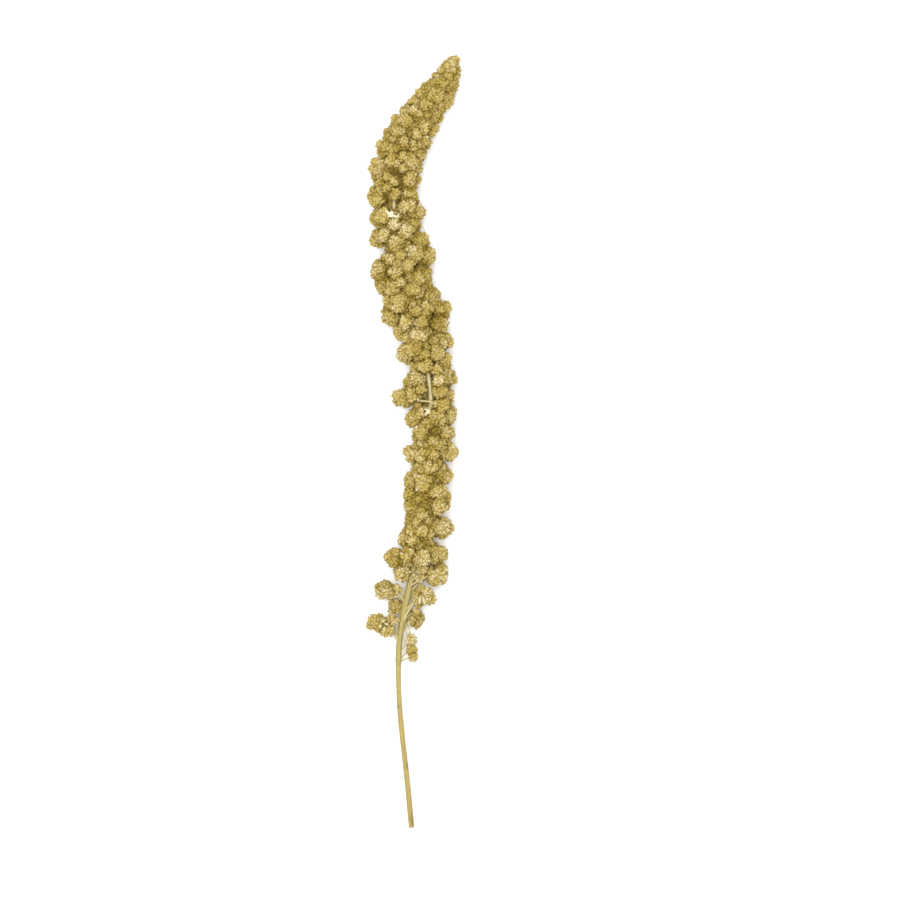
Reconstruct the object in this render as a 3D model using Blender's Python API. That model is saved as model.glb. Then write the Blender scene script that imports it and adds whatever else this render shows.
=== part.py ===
"""A dried foxtail millet head on its stalk, cut and lying on a flat surface.

The head is a bowed rachis set all round with short branches, and each branch ends in a ball of
grains. The lowest branches stand apart, so the rachis shows between them. The bare stalk runs
on below the lowest branch and comes down to the surface at its cut end.
Units are metres, +Y runs from the cut end to the tip, +Z is up and the surface is at z = 0.
"""

import math
import random

import bmesh
import bpy
from mathutils import Matrix, Vector

MM = 0.001

# Driving dimensions
STALK_RADIUS_AT_CUT = 1.2 * MM
STALK_RADIUS_AT_HEAD = 1.1 * MM
BRANCH_RADIUS = 0.7 * MM
JOINT_GAP = 0.3 * MM
JOINT_Y = -98.0 * MM
END_CLEARANCE = 3.0 * MM

# The growth line from the cut end to the tip: x, y, z in millimetres
GROWTH_LINE = (
    (-1.0, -174.0, 1.2),
    (-2.8, -154.0, 2.8),
    (-5.0, -134.0, 4.6),
    (-6.5, -116.0, 6.2),
    (-6.8, -98.0, 7.8),
    (-5.4, -82.4, 9.2),
    (-1.1, -62.1, 10.8),
    (2.5, -44.1, 11.6),
    (6.1, -21.6, 11.8),
    (7.9, 0.9, 11.8),
    (7.7, 21.2, 11.9),
    (4.7, 40.5, 12.2),
    (-1.1, 61.7, 12.4),
    (-6.1, 81.0, 12.2),
    (-8.5, 99.9, 11.6),
    (-8.1, 116.6, 11.2),
    (-4.1, 135.0, 10.6),
    (3.2, 147.2, 9.8),
    (10.4, 157.1, 8.6),
    (15.3, 165.2, 7.2),
    (18.0, 171.5, 6.0),
)
STEPS_PER_SPAN = 10

# The outline that the head shows from above: plan x, y and radius of each cluster, in millimetres
LEFT_CLUSTERS = (
    (15.4, 169.5, 2.9), (13.0, 166.5, 3.2), (10.6, 163.2, 3.2), (8.8, 160.7, 3.6),
    (6.4, 158.6, 3.4), (4.3, 156.6, 3.6), (1.1, 152.6, 3.6),
    (-2.5, 149.0, 3.8), (-7.0, 144.0, 4.0), (-10.1, 138.2, 4.0), (-12.8, 131.9, 4.3),
    (-15.5, 123.4, 4.9), (-14.2, 117.0, 4.5), (-15.8, 110.2, 5.1), (-15.1, 100.4, 4.5),
    (-15.5, 92.3, 5.0), (-9.9, 84.8, 4.3), (-14.6, 77.0, 5.0), (-11.9, 70.2, 5.0),
    (-8.8, 63.0, 5.2), (-10.1, 56.8, 4.9), (-4.7, 50.0, 4.5), (-2.9, 40.1, 5.0),
    (0.2, 27.5, 4.7), (-4.7, 20.7, 5.0), (1.1, 10.8, 4.7), (3.8, 3.2, 4.5),
    (0.7, -5.0, 4.7), (1.1, -17.1, 5.4), (0.7, -23.0, 4.8), (1.1, -29.2, 5.4),
    (1.2, -36.0, 5.0), (-0.7, -43.2, 6.0),
)
RIGHT_CLUSTERS = (
    (18.4, 168.6, 2.9), (17.8, 165.0, 3.2), (16.5, 161.4, 3.4), (16.0, 157.9, 3.6),
    (14.6, 154.8, 3.6), (12.8, 151.6, 3.8), (9.7, 147.2, 4.0),
    (7.4, 141.3, 4.3), (3.8, 135.0, 4.5), (1.6, 129.6, 4.5), (-0.2, 123.8, 4.7),
    (-1.6, 116.6, 4.7), (-2.0, 109.4, 4.3), (1.1, 103.5, 4.5), (-0.7, 97.2, 4.5),
    (2.5, 90.0, 4.5), (5.2, 83.7, 5.0), (3.4, 75.6, 5.0), (7.4, 67.1, 4.5),
    (11.9, 60.4, 5.1), (11.3, 53.2, 5.0), (12.8, 45.0, 5.0), (12.8, 36.5, 5.0),
    (14.2, 28.8, 5.2), (13.7, 20.3, 5.0), (14.6, 12.2, 5.0), (13.7, 4.1, 5.0),
    (14.6, -4.5, 5.0), (12.4, -14.4, 5.2), (11.5, -26.1, 5.4), (11.9, -38.3, 5.6),
    (10.1, -50.4, 5.4),
)
# Clusters of the upper side, which reach as far up as the head does there: x, y and radius
FRONT_CLUSTERS = (
    (5.6, 151.2, 3.1), (0.7, 147.6, 3.9), (-3.4, 144.2, 3.7), (4.7, 141.3, 3.9), (-7.4, 138.2, 3.9),
    (0.7, 137.3, 3.3), (-4.7, 133.7, 3.1), (0.2, 133.7, 3.4), (-9.2, 130.1, 3.5), (-2.0, 125.6, 4.3),
    (-8.8, 126.0, 3.9), (-2.9, 117.5, 4.4), (-7.9, 116.8, 2.6), (-2.2, 112.1, 3.7),
    (-8.9, 111.2, 3.0), (-2.9, 105.8, 4.2), (-8.3, 97.2, 3.0), (-4.4, 95.0, 4.3), (-12.8, 92.7, 3.2),
    (-0.7, 84.2, 4.9), (-2.5, 78.8, 3.4), (-7.4, 75.7, 3.9), (0.7, 72.9, 4.1), (-0.2, 68.4, 3.7),
    (-5.8, 62.6, 4.6), (7.7, 61.8, 4.9), (1.1, 58.5, 2.7), (-2.9, 54.0, 3.5), (3.4, 53.6, 2.9),
    (2.5, 47.9, 4.3), (0.7, 41.9, 4.0), (10.1, 39.6, 3.9), (5.2, 34.7, 3.9), (11.5, 27.0, 3.7),
    (11.9, 22.5, 3.7), (0.2, 21.2, 3.5), (12.4, 15.8, 3.9), (10.6, 11.0, 3.8), (4.3, 4.6, 3.7),
    (8.8, -0.5, 4.2), (4.7, -6.3, 3.8), (8.3, -5.9, 3.0), (7.4, -10.8, 3.7), (5.0, -18.2, 4.3),
    (10.6, -22.1, 4.5), (10.9, -28.4, 4.6), (3.4, -32.4, 2.9), (3.8, -40.1, 3.1), (3.4, -51.8, 4.3),
    (-1.6, -50.4, 4.2),
)
# Clusters that stand apart on longer branches at the foot of the head: x, y, z, radius, root y
FOOT_CLUSTERS = (
    (-8.3, -52.2, 11.5, 4.7, -56.0),
    (-5.6, -59.0, 8.5, 3.4, -62.0),
    (10.1, -59.4, 9.5, 5.2, -63.0),
    (-13.0, -66.6, 12.0, 4.4, -68.0),
    (4.3, -69.3, 14.5, 5.2, -72.0),
    (-7.9, -74.3, 4.6, 3.8, -77.0),
    (0.7, -79.7, 5.2, 4.3, -83.0),
    (-16.4, -81.6, 9.5, 4.6, -84.0),
    (-11.9, -84.2, 10.5, 3.5, -87.0),
    (-1.1, -89.1, 9.0, 2.7, -92.5),
)

# Rule for the clusters that fill the head between its outlines
FILL_FROM_Y = -60.0 * MM
FILL_TO_Y = 170.0 * MM
FILL_STEP = 0.25 * MM
GOLDEN_ANGLE = math.radians(137.5)
# Each pass: share of the full cluster radius, and how near two clusters may come
FILL_PASSES = ((1.0, 0.80), (0.85, 0.74))
SIZE_JITTER = 0.14
REACH_JITTER = 0.06
# How much less far the clusters at the two sides reach, as a share
SIDE_DRAW = 0.14
SEED = 31
# Places on the upper side that the clusters leave bare, so that the rachis or a deep valley shows:
# x, y and radius in millimetres
BARE_SPOTS = (
    (7.6, 28.0, 0.5), (8.0, 21.0, 0.5), (-8.4, 105.5, 0.4), (0.0, -58.0, 1.2), (7.0, 148.5, 0.3),
    (1.6, 144.0, 0.3), (-2.0, 139.5, 0.3), (-2.5, 131.2, 0.3), (-7.9, 121.3, 1.4),
    (-5.2, 113.9, 0.3), (-11.9, 110.3, 0.3), (0.9, 92.7, 0.4), (-0.2, 97.2, 0.4), (3.8, 78.8, 1.2),
    (-12.4, 73.4, 0.3), (0.7, 64.4, 0.3), (8.5, 54.0, 1.2), (9.7, 4.5, 1.0), (10.6, -14.9, 1.0),
    (4.7, -27.5, 1.4), (9.2, -35.6, 0.5), (4.7, -46.8, 0.5),
)
# How far the lowest clusters are pressed flat by the surface
SETTLING = 0.4 * MM

# Along the head, by y in millimetres: outer radius, cluster radius and core radius
PROFILE = (
    (-98.0, 6.0, 3.0, 1.1),
    (-84.0, 8.0, 3.8, 1.15),
    (-60.0, 10.4, 4.8, 1.25),
    (-46.0, 12.2, 5.2, 4.0),
    (-20.0, 12.4, 5.2, 6.0),
    (20.0, 12.4, 5.0, 6.0),
    (60.0, 12.8, 5.0, 6.2),
    (90.0, 12.2, 4.8, 6.0),
    (120.0, 11.6, 4.5, 6.0),
    (140.0, 10.6, 4.2, 5.8),
    (155.0, 8.4, 3.7, 5.0),
    (165.0, 6.2, 3.1, 3.8),
    (171.5, 4.2, 2.6, 2.6),
)
TIP_CLUSTER_RADIUS = 3.0 * MM
STALK_SIDES = 12
RACHIS_SIDES = 8
BRANCH_SIDES = 5
TUBE_STEP = 4

# Relief of the dense part of the head, which starts where the growth line passes this y
DENSE_FROM_Y = -62.5 * MM
HEAD_SIDES = 33
TIP_ROWS = (0.9 * MM, 1.8 * MM)
TIP_POINT = 2.9 * MM
GRAIN_HEIGHT = 0.5 * MM
VALLEY_DEPTH = 0.25 * MM

# How far the rachis of the foot runs on inside the dense part
RACHIS_OVERLAP = 12.0 * MM

# Relief of a ball of grains, as shares of its radius
BALL_GRAIN = 1.07
BALL_VALLEY = 0.9
GROUND_BLOCK = (200 * MM, 600 * MM, 100 * MM)

# Colours
STRAW = (0.62, 0.52, 0.28, 1.0)
OLIVE_GOLD = (0.50, 0.39, 0.14, 1.0)


def clear_scene():
    for obj in list(bpy.data.objects):
        bpy.data.objects.remove(obj, do_unlink=True)


def new_collection(name):
    collection = bpy.data.collections.new(name)
    bpy.context.scene.collection.children.link(collection)
    return collection


def new_material(name, colour, roughness):
    material = bpy.data.materials.new(name)
    material.use_nodes = True
    shader = material.node_tree.nodes["Principled BSDF"]
    shader.inputs["Base Color"].default_value = colour
    shader.inputs["Roughness"].default_value = roughness
    shader.inputs["Metallic"].default_value = 0.0
    return material


def object_from_bmesh(name, shape, collection, material=None):
    mesh = bpy.data.meshes.new(name)
    shape.to_mesh(mesh)
    shape.free()
    obj = bpy.data.objects.new(name, mesh)
    collection.objects.link(obj)
    if material:
        mesh.materials.append(material)
    return obj


def growth_points():
    """The growth line as a smooth curve of closely spaced points."""
    marks = [Vector(p) * MM for p in GROWTH_LINE]
    marks = [2 * marks[0] - marks[1], *marks, 2 * marks[-1] - marks[-2]]
    points = []
    for a, b, c, d in zip(marks, marks[1:], marks[2:], marks[3:]):
        for step in range(STEPS_PER_SPAN):
            t = step / STEPS_PER_SPAN
            points.append(
                0.5 * (2 * b + (c - a) * t + (2 * a - 5 * b + 4 * c - d) * t**2
                       + (3 * b - a - 3 * c + d) * t**3)
            )
    return [*points, marks[-2]]


def profile_at(y, column):
    """Outer radius (1), cluster radius (2) or core radius (3) where the growth line passes y."""
    rows = [(row[0] * MM, row[column] * MM) for row in PROFILE]
    if y <= rows[0][0]:
        return rows[0][1]
    for (y0, v0), (y1, v1) in zip(rows, rows[1:]):
        if y <= y1:
            return v0 + (v1 - v0) * (y - y0) / (y1 - y0)
    return rows[-1][1]


def frame_at_y(points, y):
    """Point, forward, right and up of the growth line where it passes y, which only rises."""
    for a, b in zip(points, points[1:]):
        if b.y >= y:
            break
    forward = (b - a).normalized()
    right = forward.cross(Vector((0, 0, 1))).normalized()
    return a.lerp(b, (y - a.y) / (b.y - a.y)), forward, right, right.cross(forward)


def nearest_point(points, place):
    return min(points, key=lambda p: (p.xy - place.xy).length)


def tube(points, radii, sides):
    """A closed tube of flat rings along the points."""
    shape = bmesh.new()
    rings = []
    for i, point in enumerate(points):
        forward = (points[min(i + 1, len(points) - 1)] - points[max(i - 1, 0)]).normalized()
        right = forward.cross(Vector((0, 0, 1))).normalized()
        up = right.cross(forward)
        ring = []
        for k in range(sides):
            angle = 2 * math.pi * (k + 0.5) / sides
            ring.append(shape.verts.new(
                point + (right * math.cos(angle) + up * math.sin(angle)) * radii[i]
            ))
        rings.append(ring)
    for low, high in zip(rings, rings[1:]):
        for k in range(sides):
            shape.faces.new((low[k], low[(k + 1) % sides], high[(k + 1) % sides], high[k]))
    shape.faces.new(rings[0])
    shape.faces.new(reversed(rings[-1]))
    bmesh.ops.recalc_face_normals(shape, faces=shape.faces)
    return shape


def grain_ball(radius, outward, turn):
    """A ball of grains: a dodecahedron's corners as valleys, and its faces' middles raised as grains."""
    shape = bmesh.new()
    bmesh.ops.create_icosphere(shape, subdivisions=1, radius=1.0)
    grains = list(shape.verts)
    middles = bmesh.ops.poke(shape, faces=shape.faces)["verts"]
    for edge in [e for e in shape.edges if e.verts[0] in grains and e.verts[1] in grains]:
        bmesh.ops.rotate_edges(shape, edges=[edge], use_ccw=False)
    for vert in grains:
        vert.co = vert.co.normalized() * radius * BALL_GRAIN
    for vert in middles:
        vert.co = vert.co.normalized() * radius * BALL_VALLEY
    aim = outward.to_track_quat("Z", "Y").to_matrix().to_4x4()
    bmesh.ops.transform(shape, matrix=aim @ Matrix.Rotation(turn, 4, "Z"), verts=shape.verts)
    return shape


def side_clusters(points):
    """The clusters of the two outlines, level with the growth line."""
    placed = []
    for x, y, radius in (*LEFT_CLUSTERS, *RIGHT_CLUSTERS):
        place = Vector((x, y, 0)) * MM
        root = nearest_point(points, place)
        place.z = root.z
        placed.append((place, radius * MM, root))
    return placed


def front_clusters(points):
    """The clusters of the upper side, each as far up as the head reaches there."""
    placed = []
    for x, y, radius in FRONT_CLUSTERS:
        place = Vector((x, y, 0)) * MM
        root = nearest_point(points, place)
        reach = profile_at(root.y, 1) - radius * MM
        aside = (place.xy - root.xy).length
        place.z = root.z + math.sqrt(max(reach**2 - aside**2, 0.0))
        placed.append((place, radius * MM, root))
    return placed


def foot_clusters(points):
    placed = []
    for x, y, z, radius, root_y in FOOT_CLUSTERS:
        root = frame_at_y(points, root_y * MM)[0]
        placed.append((Vector((x, y, z)) * MM, radius * MM, root))
    return placed


def in_bare_spot(place, radius, root):
    return place.z > root.z and any(
        (place.xy - Vector((x, y)) * MM).length < radius + spot * MM for x, y, spot in BARE_SPOTS
    )


def fill_clusters(points, placed, chance):
    """Clusters on a golden spiral round the growth line, wherever there is still room."""
    for share, crowding in FILL_PASSES:
        turn, y = 0.0, FILL_FROM_Y
        while y < FILL_TO_Y:
            root, forward, right, up = frame_at_y(points, y)
            radius = profile_at(y, 2) * share * (1 + SIZE_JITTER * chance.uniform(-1, 1))
            draw = 1 - SIDE_DRAW * math.cos(turn) ** 2 + REACH_JITTER * chance.uniform(-1, 1)
            reach = (profile_at(y, 1) - radius) * draw
            place = root + (right * math.cos(turn) + up * math.sin(turn)) * reach
            place.z = max(place.z, radius - SETTLING)
            clear = all(
                (place - other).length > crowding * (radius + size) for other, size, _ in placed
            )
            if clear and not in_bare_spot(place, radius, root):
                placed.append((place, radius, root))
            turn += GOLDEN_ANGLE
            y += FILL_STEP


def head_clusters(points, chance):
    """The clusters of the foot, and those of the dense part above it."""
    foot = foot_clusters(points)
    placed = [*foot, *side_clusters(points), *front_clusters(points)]
    placed.append((points[-1].copy(), TIP_CLUSTER_RADIUS, points[-1]))
    fill_clusters(points, placed, chance)
    return foot, placed[len(foot):]


def reach_of(point, way, clusters, least):
    """How far a line from the point goes before it leaves the last cluster that it meets."""
    reach = least
    for place, radius, root in clusters:
        offset = place - point
        along = offset.dot(way)
        rest = radius**2 - offset.length_squared + along**2
        if rest > 0:
            reach = max(reach, along + math.sqrt(rest))
    return reach


def dense_head(points, clusters):
    """A tube round the growth line that stands out as far as its clusters do.

    Its points lie in staggered rows, and every third one is a grain that rises above its neighbours.
    """
    shape = bmesh.new()
    run = [p for p in points if p.y >= DENSE_FROM_Y]
    last = (run[-1] - run[-2]).normalized()
    run += [run[-1] + last * step for step in TIP_ROWS]
    rings = []
    for i, point in enumerate(run):
        forward = (run[min(i + 1, len(run) - 1)] - run[max(i - 1, 0)]).normalized()
        right = forward.cross(Vector((0, 0, 1))).normalized()
        up = right.cross(forward)
        ring = []
        for k in range(HEAD_SIDES):
            angle = 2 * math.pi * (k + 0.5 * (i % 2)) / HEAD_SIDES
            way = right * math.cos(angle) + up * math.sin(angle)
            reach = reach_of(point, way, clusters, profile_at(point.y, 3))
            relief = GRAIN_HEIGHT if (k + 2 * (i % 2)) % 3 == 0 else -VALLEY_DEPTH
            ring.append(shape.verts.new(point + way * (reach + relief)))
        rings.append(ring)
    for i, (low, high) in enumerate(zip(rings, rings[1:])):
        for k in range(HEAD_SIDES):
            n = (k + 1) % HEAD_SIDES
            if i % 2:
                shape.faces.new((low[k], low[n], high[n]))
                shape.faces.new((low[k], high[n], high[k]))
            else:
                shape.faces.new((low[k], low[n], high[k]))
                shape.faces.new((low[n], high[n], high[k]))
    tip = shape.verts.new(run[-1 - len(TIP_ROWS)] + last * TIP_POINT)
    for k in range(HEAD_SIDES):
        shape.faces.new((rings[-1][k], rings[-1][(k + 1) % HEAD_SIDES], tip))
    shape.faces.new(reversed(rings[0]))
    bmesh.ops.recalc_face_normals(shape, faces=shape.faces)
    return shape


def add_foot(points, foot, chance, collection):
    """The rachis below the dense part, and the clusters that stand apart on branches there."""
    start = frame_at_y(points, JOINT_Y)[0]
    run = [p for p in points if start.y + END_CLEARANCE < p.y < DENSE_FROM_Y + RACHIS_OVERLAP]
    stations = [start, *run[::TUBE_STEP], run[-1]]
    radii = [profile_at(p.y, 3) for p in stations]
    object_from_bmesh("rachis", tube(stations, radii, RACHIS_SIDES), collection)
    for number, (place, radius, root) in enumerate(foot):
        ball = grain_ball(radius, place - root, chance.uniform(0, 2 * math.pi))
        bmesh.ops.translate(ball, vec=place, verts=ball.verts)
        object_from_bmesh(f"cluster_{number}", ball, collection)
        branch = tube([root, place], [BRANCH_RADIUS] * 2, BRANCH_SIDES)
        object_from_bmesh(f"branch_{number}", branch, collection)


def bake(obj):
    """Replaces the object's mesh with the one its modifiers give."""
    graph = bpy.context.evaluated_depsgraph_get()
    made = bpy.data.meshes.new_from_object(obj.evaluated_get(graph))
    obj.modifiers.clear()
    obj.data = made


def join_collection(obj, collection):
    """Unites the object with everything in the collection, then removes the collection."""
    union = obj.modifiers.new("unite", "BOOLEAN")
    union.operation = "UNION"
    union.operand_type = "COLLECTION"
    union.collection = collection
    union.solver = "MANIFOLD"
    bake(obj)
    for repeat in list(collection.objects):
        bpy.data.objects.remove(repeat, do_unlink=True)
    bpy.data.collections.remove(collection)


def signed_volume(faces):
    total = 0.0
    for face in faces:
        a = face.verts[0].co
        for b, c in zip(face.verts[1:], face.verts[2:]):
            total += a.dot(b.co.cross(c.co)) / 6
    return total


def keep_main_body(obj):
    """Drops the sealed hollows between clusters and any loose scrap."""
    shape = bmesh.new()
    shape.from_mesh(obj.data)
    left = set(shape.faces)
    bodies = []
    while left:
        body, edge = set(), [left.pop()]
        while edge:
            face = edge.pop()
            body.add(face)
            near = {f for e in face.edges for f in e.link_faces} & left
            left -= near
            edge.extend(near)
        bodies.append(body)
    main = max(bodies, key=signed_volume)
    drop = [f for body in bodies if body is not main for f in body]
    bmesh.ops.delete(shape, geom=drop, context="FACES")
    shape.to_mesh(obj.data)
    shape.free()


def build_seed_head(points, parts, cutters, material):
    """The rachis with all its clusters, fused, and flat spots where it lies on the surface."""
    chance = random.Random(SEED)
    foot, dense = head_clusters(points, chance)
    head = object_from_bmesh("seed_head", dense_head(points, dense), parts)
    repeats = new_collection("repeats")
    add_foot(points, foot, chance, repeats)
    join_collection(head, repeats)
    block = bmesh.new()
    bmesh.ops.create_cube(block, size=1.0)
    bmesh.ops.scale(block, vec=GROUND_BLOCK, verts=block.verts)
    bmesh.ops.translate(block, vec=(0, 0, -GROUND_BLOCK[2] / 2), verts=block.verts)
    ground = object_from_bmesh("ground_cutter", block, cutters)
    ground.hide_render = True
    ground.display_type = "WIRE"
    cut = head.modifiers.new("flat spots", "BOOLEAN")
    cut.operation = "DIFFERENCE"
    cut.object = ground
    cut.solver = "MANIFOLD"
    bake(head)
    keep_main_body(head)
    head.data.materials.clear()
    head.data.materials.append(material)
    print("clusters", len(foot) + len(dense), "faces", len(head.data.polygons))
    return head


def build_stalk(points, parts, material):
    end = frame_at_y(points, JOINT_Y - JOINT_GAP)[0]
    stations = [*[p for p in points if p.y < end.y - END_CLEARANCE][::TUBE_STEP], end]
    fall = stations[-1].y - stations[0].y
    radii = [
        STALK_RADIUS_AT_CUT + (STALK_RADIUS_AT_HEAD - STALK_RADIUS_AT_CUT)
        * (p.y - stations[0].y) / fall for p in stations
    ]
    stalk = object_from_bmesh("stalk", tube(stations, radii, STALK_SIDES), parts, material)
    stalk.data.shade_smooth()
    stalk.data.set_sharp_from_angle(angle=math.radians(40))
    return stalk


def main():
    clear_scene()
    parts = new_collection("foxtail_millet_head")
    cutters = new_collection("cutters")
    points = growth_points()
    straw = new_material("straw", STRAW, 0.6)
    grain = new_material("grain", OLIVE_GOLD, 0.7)
    build_seed_head(points, parts, cutters, grain)
    build_stalk(points, parts, straw)


main()
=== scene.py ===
"""Foxtail millet head: a dried seed head on its stalk, cut and laid on a pale surface.

A bowed rachis carries some 400 short branches. Each ends in a cluster, which is a ball of small
lobes, and each lobe is set all over with husked grains that point outward. Between the grains lie
chaff and short bristles; the chaff, and the grains deep in and between the clusters and on their
flanks, are darkened with painted shade. The lowest clusters stand apart, so the rachis and its
branches show, and the bare stalk runs on below them to its cut end.
Units are metres, +Y runs from the cut end to the tip, +Z is up and the surface is at z = 0.
"""

import math
import random

import bmesh
import bpy
import numpy as np
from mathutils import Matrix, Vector


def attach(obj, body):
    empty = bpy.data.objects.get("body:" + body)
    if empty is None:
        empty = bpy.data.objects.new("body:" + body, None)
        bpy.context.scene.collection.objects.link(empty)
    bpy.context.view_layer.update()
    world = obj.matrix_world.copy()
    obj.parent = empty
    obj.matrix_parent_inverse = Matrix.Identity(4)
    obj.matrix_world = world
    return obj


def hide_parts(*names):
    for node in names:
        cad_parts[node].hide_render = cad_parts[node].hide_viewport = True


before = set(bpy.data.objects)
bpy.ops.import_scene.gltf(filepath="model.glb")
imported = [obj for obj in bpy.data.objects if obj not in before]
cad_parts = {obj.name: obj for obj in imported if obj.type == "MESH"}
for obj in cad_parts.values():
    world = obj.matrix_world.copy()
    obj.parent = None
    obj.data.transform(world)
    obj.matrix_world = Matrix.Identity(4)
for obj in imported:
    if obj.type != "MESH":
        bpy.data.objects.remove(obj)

bl_info = {
    "name": "Foxtail Millet Head",
    "version": (1, 0, 0),
    "blender": (4, 5, 0),
    "location": "3D View > Sidebar > Millet",
    "description": "A dried foxtail millet head built grain by grain on its rachis and stalk",
    "category": "Object",
}

MM = 0.001
BODY = "root"
HEAD_NODE = "seed_head"
STALK_NODE = "stalk"
# The seed of each part's own round of chance
SEEDS = {"clusters": 31, "grains": 32, "bristles": 33, "rachis": 34, "stalk": 35, "husks": 37}

# The growth line from the cut end to the tip: x, y, z in millimetres
GROWTH_LINE = (
    (-1.0, -174.0, 1.2), (-2.8, -154.0, 2.8), (-5.0, -134.0, 4.6), (-6.5, -116.0, 6.2),
    (-6.8, -98.0, 7.8), (-5.4, -82.4, 9.2), (-1.1, -62.1, 10.8), (2.5, -44.1, 11.6),
    (6.1, -21.6, 11.8), (7.9, 0.9, 11.8), (7.7, 21.2, 11.9), (4.7, 40.5, 12.2), (-1.1, 61.7, 12.4),
    (-6.1, 81.0, 12.2), (-8.5, 99.9, 11.6), (-8.1, 116.6, 11.2), (-4.1, 135.0, 10.6),
    (3.2, 147.2, 9.8), (10.4, 157.1, 8.6), (15.3, 165.2, 7.2), (18.0, 171.5, 6.0),
)
STEPS_PER_SPAN = 10
JOINT_Y = -98.0 * MM
JOINT_LAP = 3.0 * MM

# The outline that the head shows from above: plan x, y and radius of each cluster, in millimetres
LEFT_CLUSTERS = (
    (15.4, 169.5, 2.9), (13.0, 166.5, 3.2), (10.6, 163.2, 3.2), (8.8, 160.7, 3.6),
    (6.4, 158.6, 3.4), (4.3, 156.6, 3.6), (1.1, 152.6, 3.6), (-2.5, 149.0, 3.8),
    (-7.0, 144.0, 4.0), (-10.1, 138.2, 4.0), (-12.8, 131.9, 4.3), (-15.5, 123.4, 4.9),
    (-14.2, 117.0, 4.5), (-15.8, 110.2, 5.1), (-15.1, 100.4, 4.5), (-15.5, 91.6, 4.5),
    (-11.6, 81.3, 4.0), (-14.6, 77.0, 5.0), (-11.9, 70.2, 5.0), (-8.8, 63.0, 5.2),
    (-10.1, 56.8, 4.9), (-4.7, 50.0, 4.5), (-2.9, 40.1, 5.0), (0.2, 27.5, 4.7), (-4.8, 19.9, 4.7),
    (2.6, 15.8, 2.8), (1.1, 10.8, 4.7), (3.2, 3.3, 4.6), (0.7, -5.0, 4.7), (1.1, -17.1, 5.4),
    (0.2, -23.8, 4.9), (1.1, -29.2, 5.4), (1.2, -36.0, 5.0), (-1.1, -43.4, 6.0),
)
RIGHT_CLUSTERS = (
    (18.4, 168.6, 2.9), (17.8, 165.0, 3.2), (16.5, 161.4, 3.4), (16.0, 157.9, 3.6),
    (14.6, 154.8, 3.6), (12.8, 151.6, 3.8), (9.7, 147.2, 4.0), (7.4, 141.3, 4.3),
    (3.8, 135.0, 4.5), (1.6, 129.6, 4.5), (-0.2, 123.8, 4.7), (-1.6, 116.6, 4.7),
    (-2.0, 109.4, 4.3), (1.1, 103.5, 4.5), (-0.7, 97.2, 4.5), (2.5, 90.0, 4.5), (5.2, 83.7, 5.0),
    (3.4, 75.6, 5.0), (5.2, 70.6, 3.5), (7.8, 65.2, 4.6), (11.8, 59.6, 5.1), (11.3, 53.2, 5.0),
    (12.8, 45.0, 5.0), (12.8, 36.5, 5.0), (14.2, 28.8, 5.2), (13.7, 20.3, 5.0), (14.6, 12.2, 5.0),
    (13.7, 4.1, 5.0), (14.6, -4.5, 5.0), (12.4, -14.4, 5.2), (11.5, -26.1, 5.4),
    (11.9, -38.3, 5.6), (10.1, -50.4, 5.4),
)
# Clusters of the upper side, which reach as far up as the head does there: x, y and radius
FRONT_CLUSTERS = (
    (5.6, 151.2, 3.1), (0.7, 147.6, 3.9), (-3.4, 144.2, 3.7), (4.7, 141.3, 3.9),
    (-7.4, 138.2, 3.9), (0.7, 137.3, 3.3), (-4.7, 133.7, 3.1), (0.2, 133.7, 3.4),
    (-9.2, 130.1, 3.5), (-2.0, 125.6, 4.3), (-8.8, 126.0, 3.9), (-2.9, 117.5, 4.4),
    (-7.9, 116.8, 2.6), (-2.2, 112.1, 3.7), (-8.9, 111.2, 3.0), (-2.9, 105.8, 4.2),
    (-8.3, 97.2, 3.0), (-4.4, 95.0, 4.3), (-12.8, 92.7, 3.2), (-0.7, 84.2, 4.9), (-2.5, 78.8, 3.4),
    (-7.4, 75.7, 3.9), (0.7, 72.9, 4.1), (-0.2, 68.4, 3.7), (-5.8, 62.6, 4.6), (7.7, 61.8, 4.9),
    (1.1, 58.5, 2.7), (-2.9, 54.0, 3.5), (3.4, 53.6, 2.9), (2.5, 47.9, 4.3), (0.7, 41.9, 4.0),
    (10.1, 39.6, 3.9), (5.2, 34.7, 3.9), (11.5, 27.0, 3.7), (11.9, 22.5, 3.7), (0.2, 21.2, 3.5),
    (12.4, 15.8, 3.9), (10.6, 11.0, 3.8), (4.3, 4.6, 3.7), (8.8, -0.5, 4.2), (4.7, -6.3, 3.8),
    (8.3, -5.9, 3.0), (7.4, -10.8, 3.7), (5.0, -18.2, 4.3), (10.6, -22.1, 4.5), (10.9, -28.4, 4.6),
    (3.4, -32.4, 2.9), (3.8, -40.1, 3.1), (3.4, -51.8, 4.3), (-1.6, -50.4, 4.2),
)
# Clusters that stand apart on longer branches at the foot of the head: x, y, z, radius, root y
FOOT_CLUSTERS = (
    (-8.3, -52.2, 11.5, 4.7, -56.0), (-5.6, -59.0, 8.5, 3.4, -62.0),
    (10.1, -59.4, 9.5, 5.2, -63.0), (-13.0, -66.6, 12.0, 4.4, -68.0),
    (4.3, -69.3, 14.5, 5.2, -72.0), (-7.9, -74.3, 4.6, 3.8, -77.0), (0.7, -79.7, 5.2, 4.3, -83.0),
    (-16.4, -81.6, 9.5, 4.6, -84.0), (-11.9, -84.2, 10.5, 3.5, -87.0),
    (-1.1, -89.1, 9.0, 2.7, -92.5),
)
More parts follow.
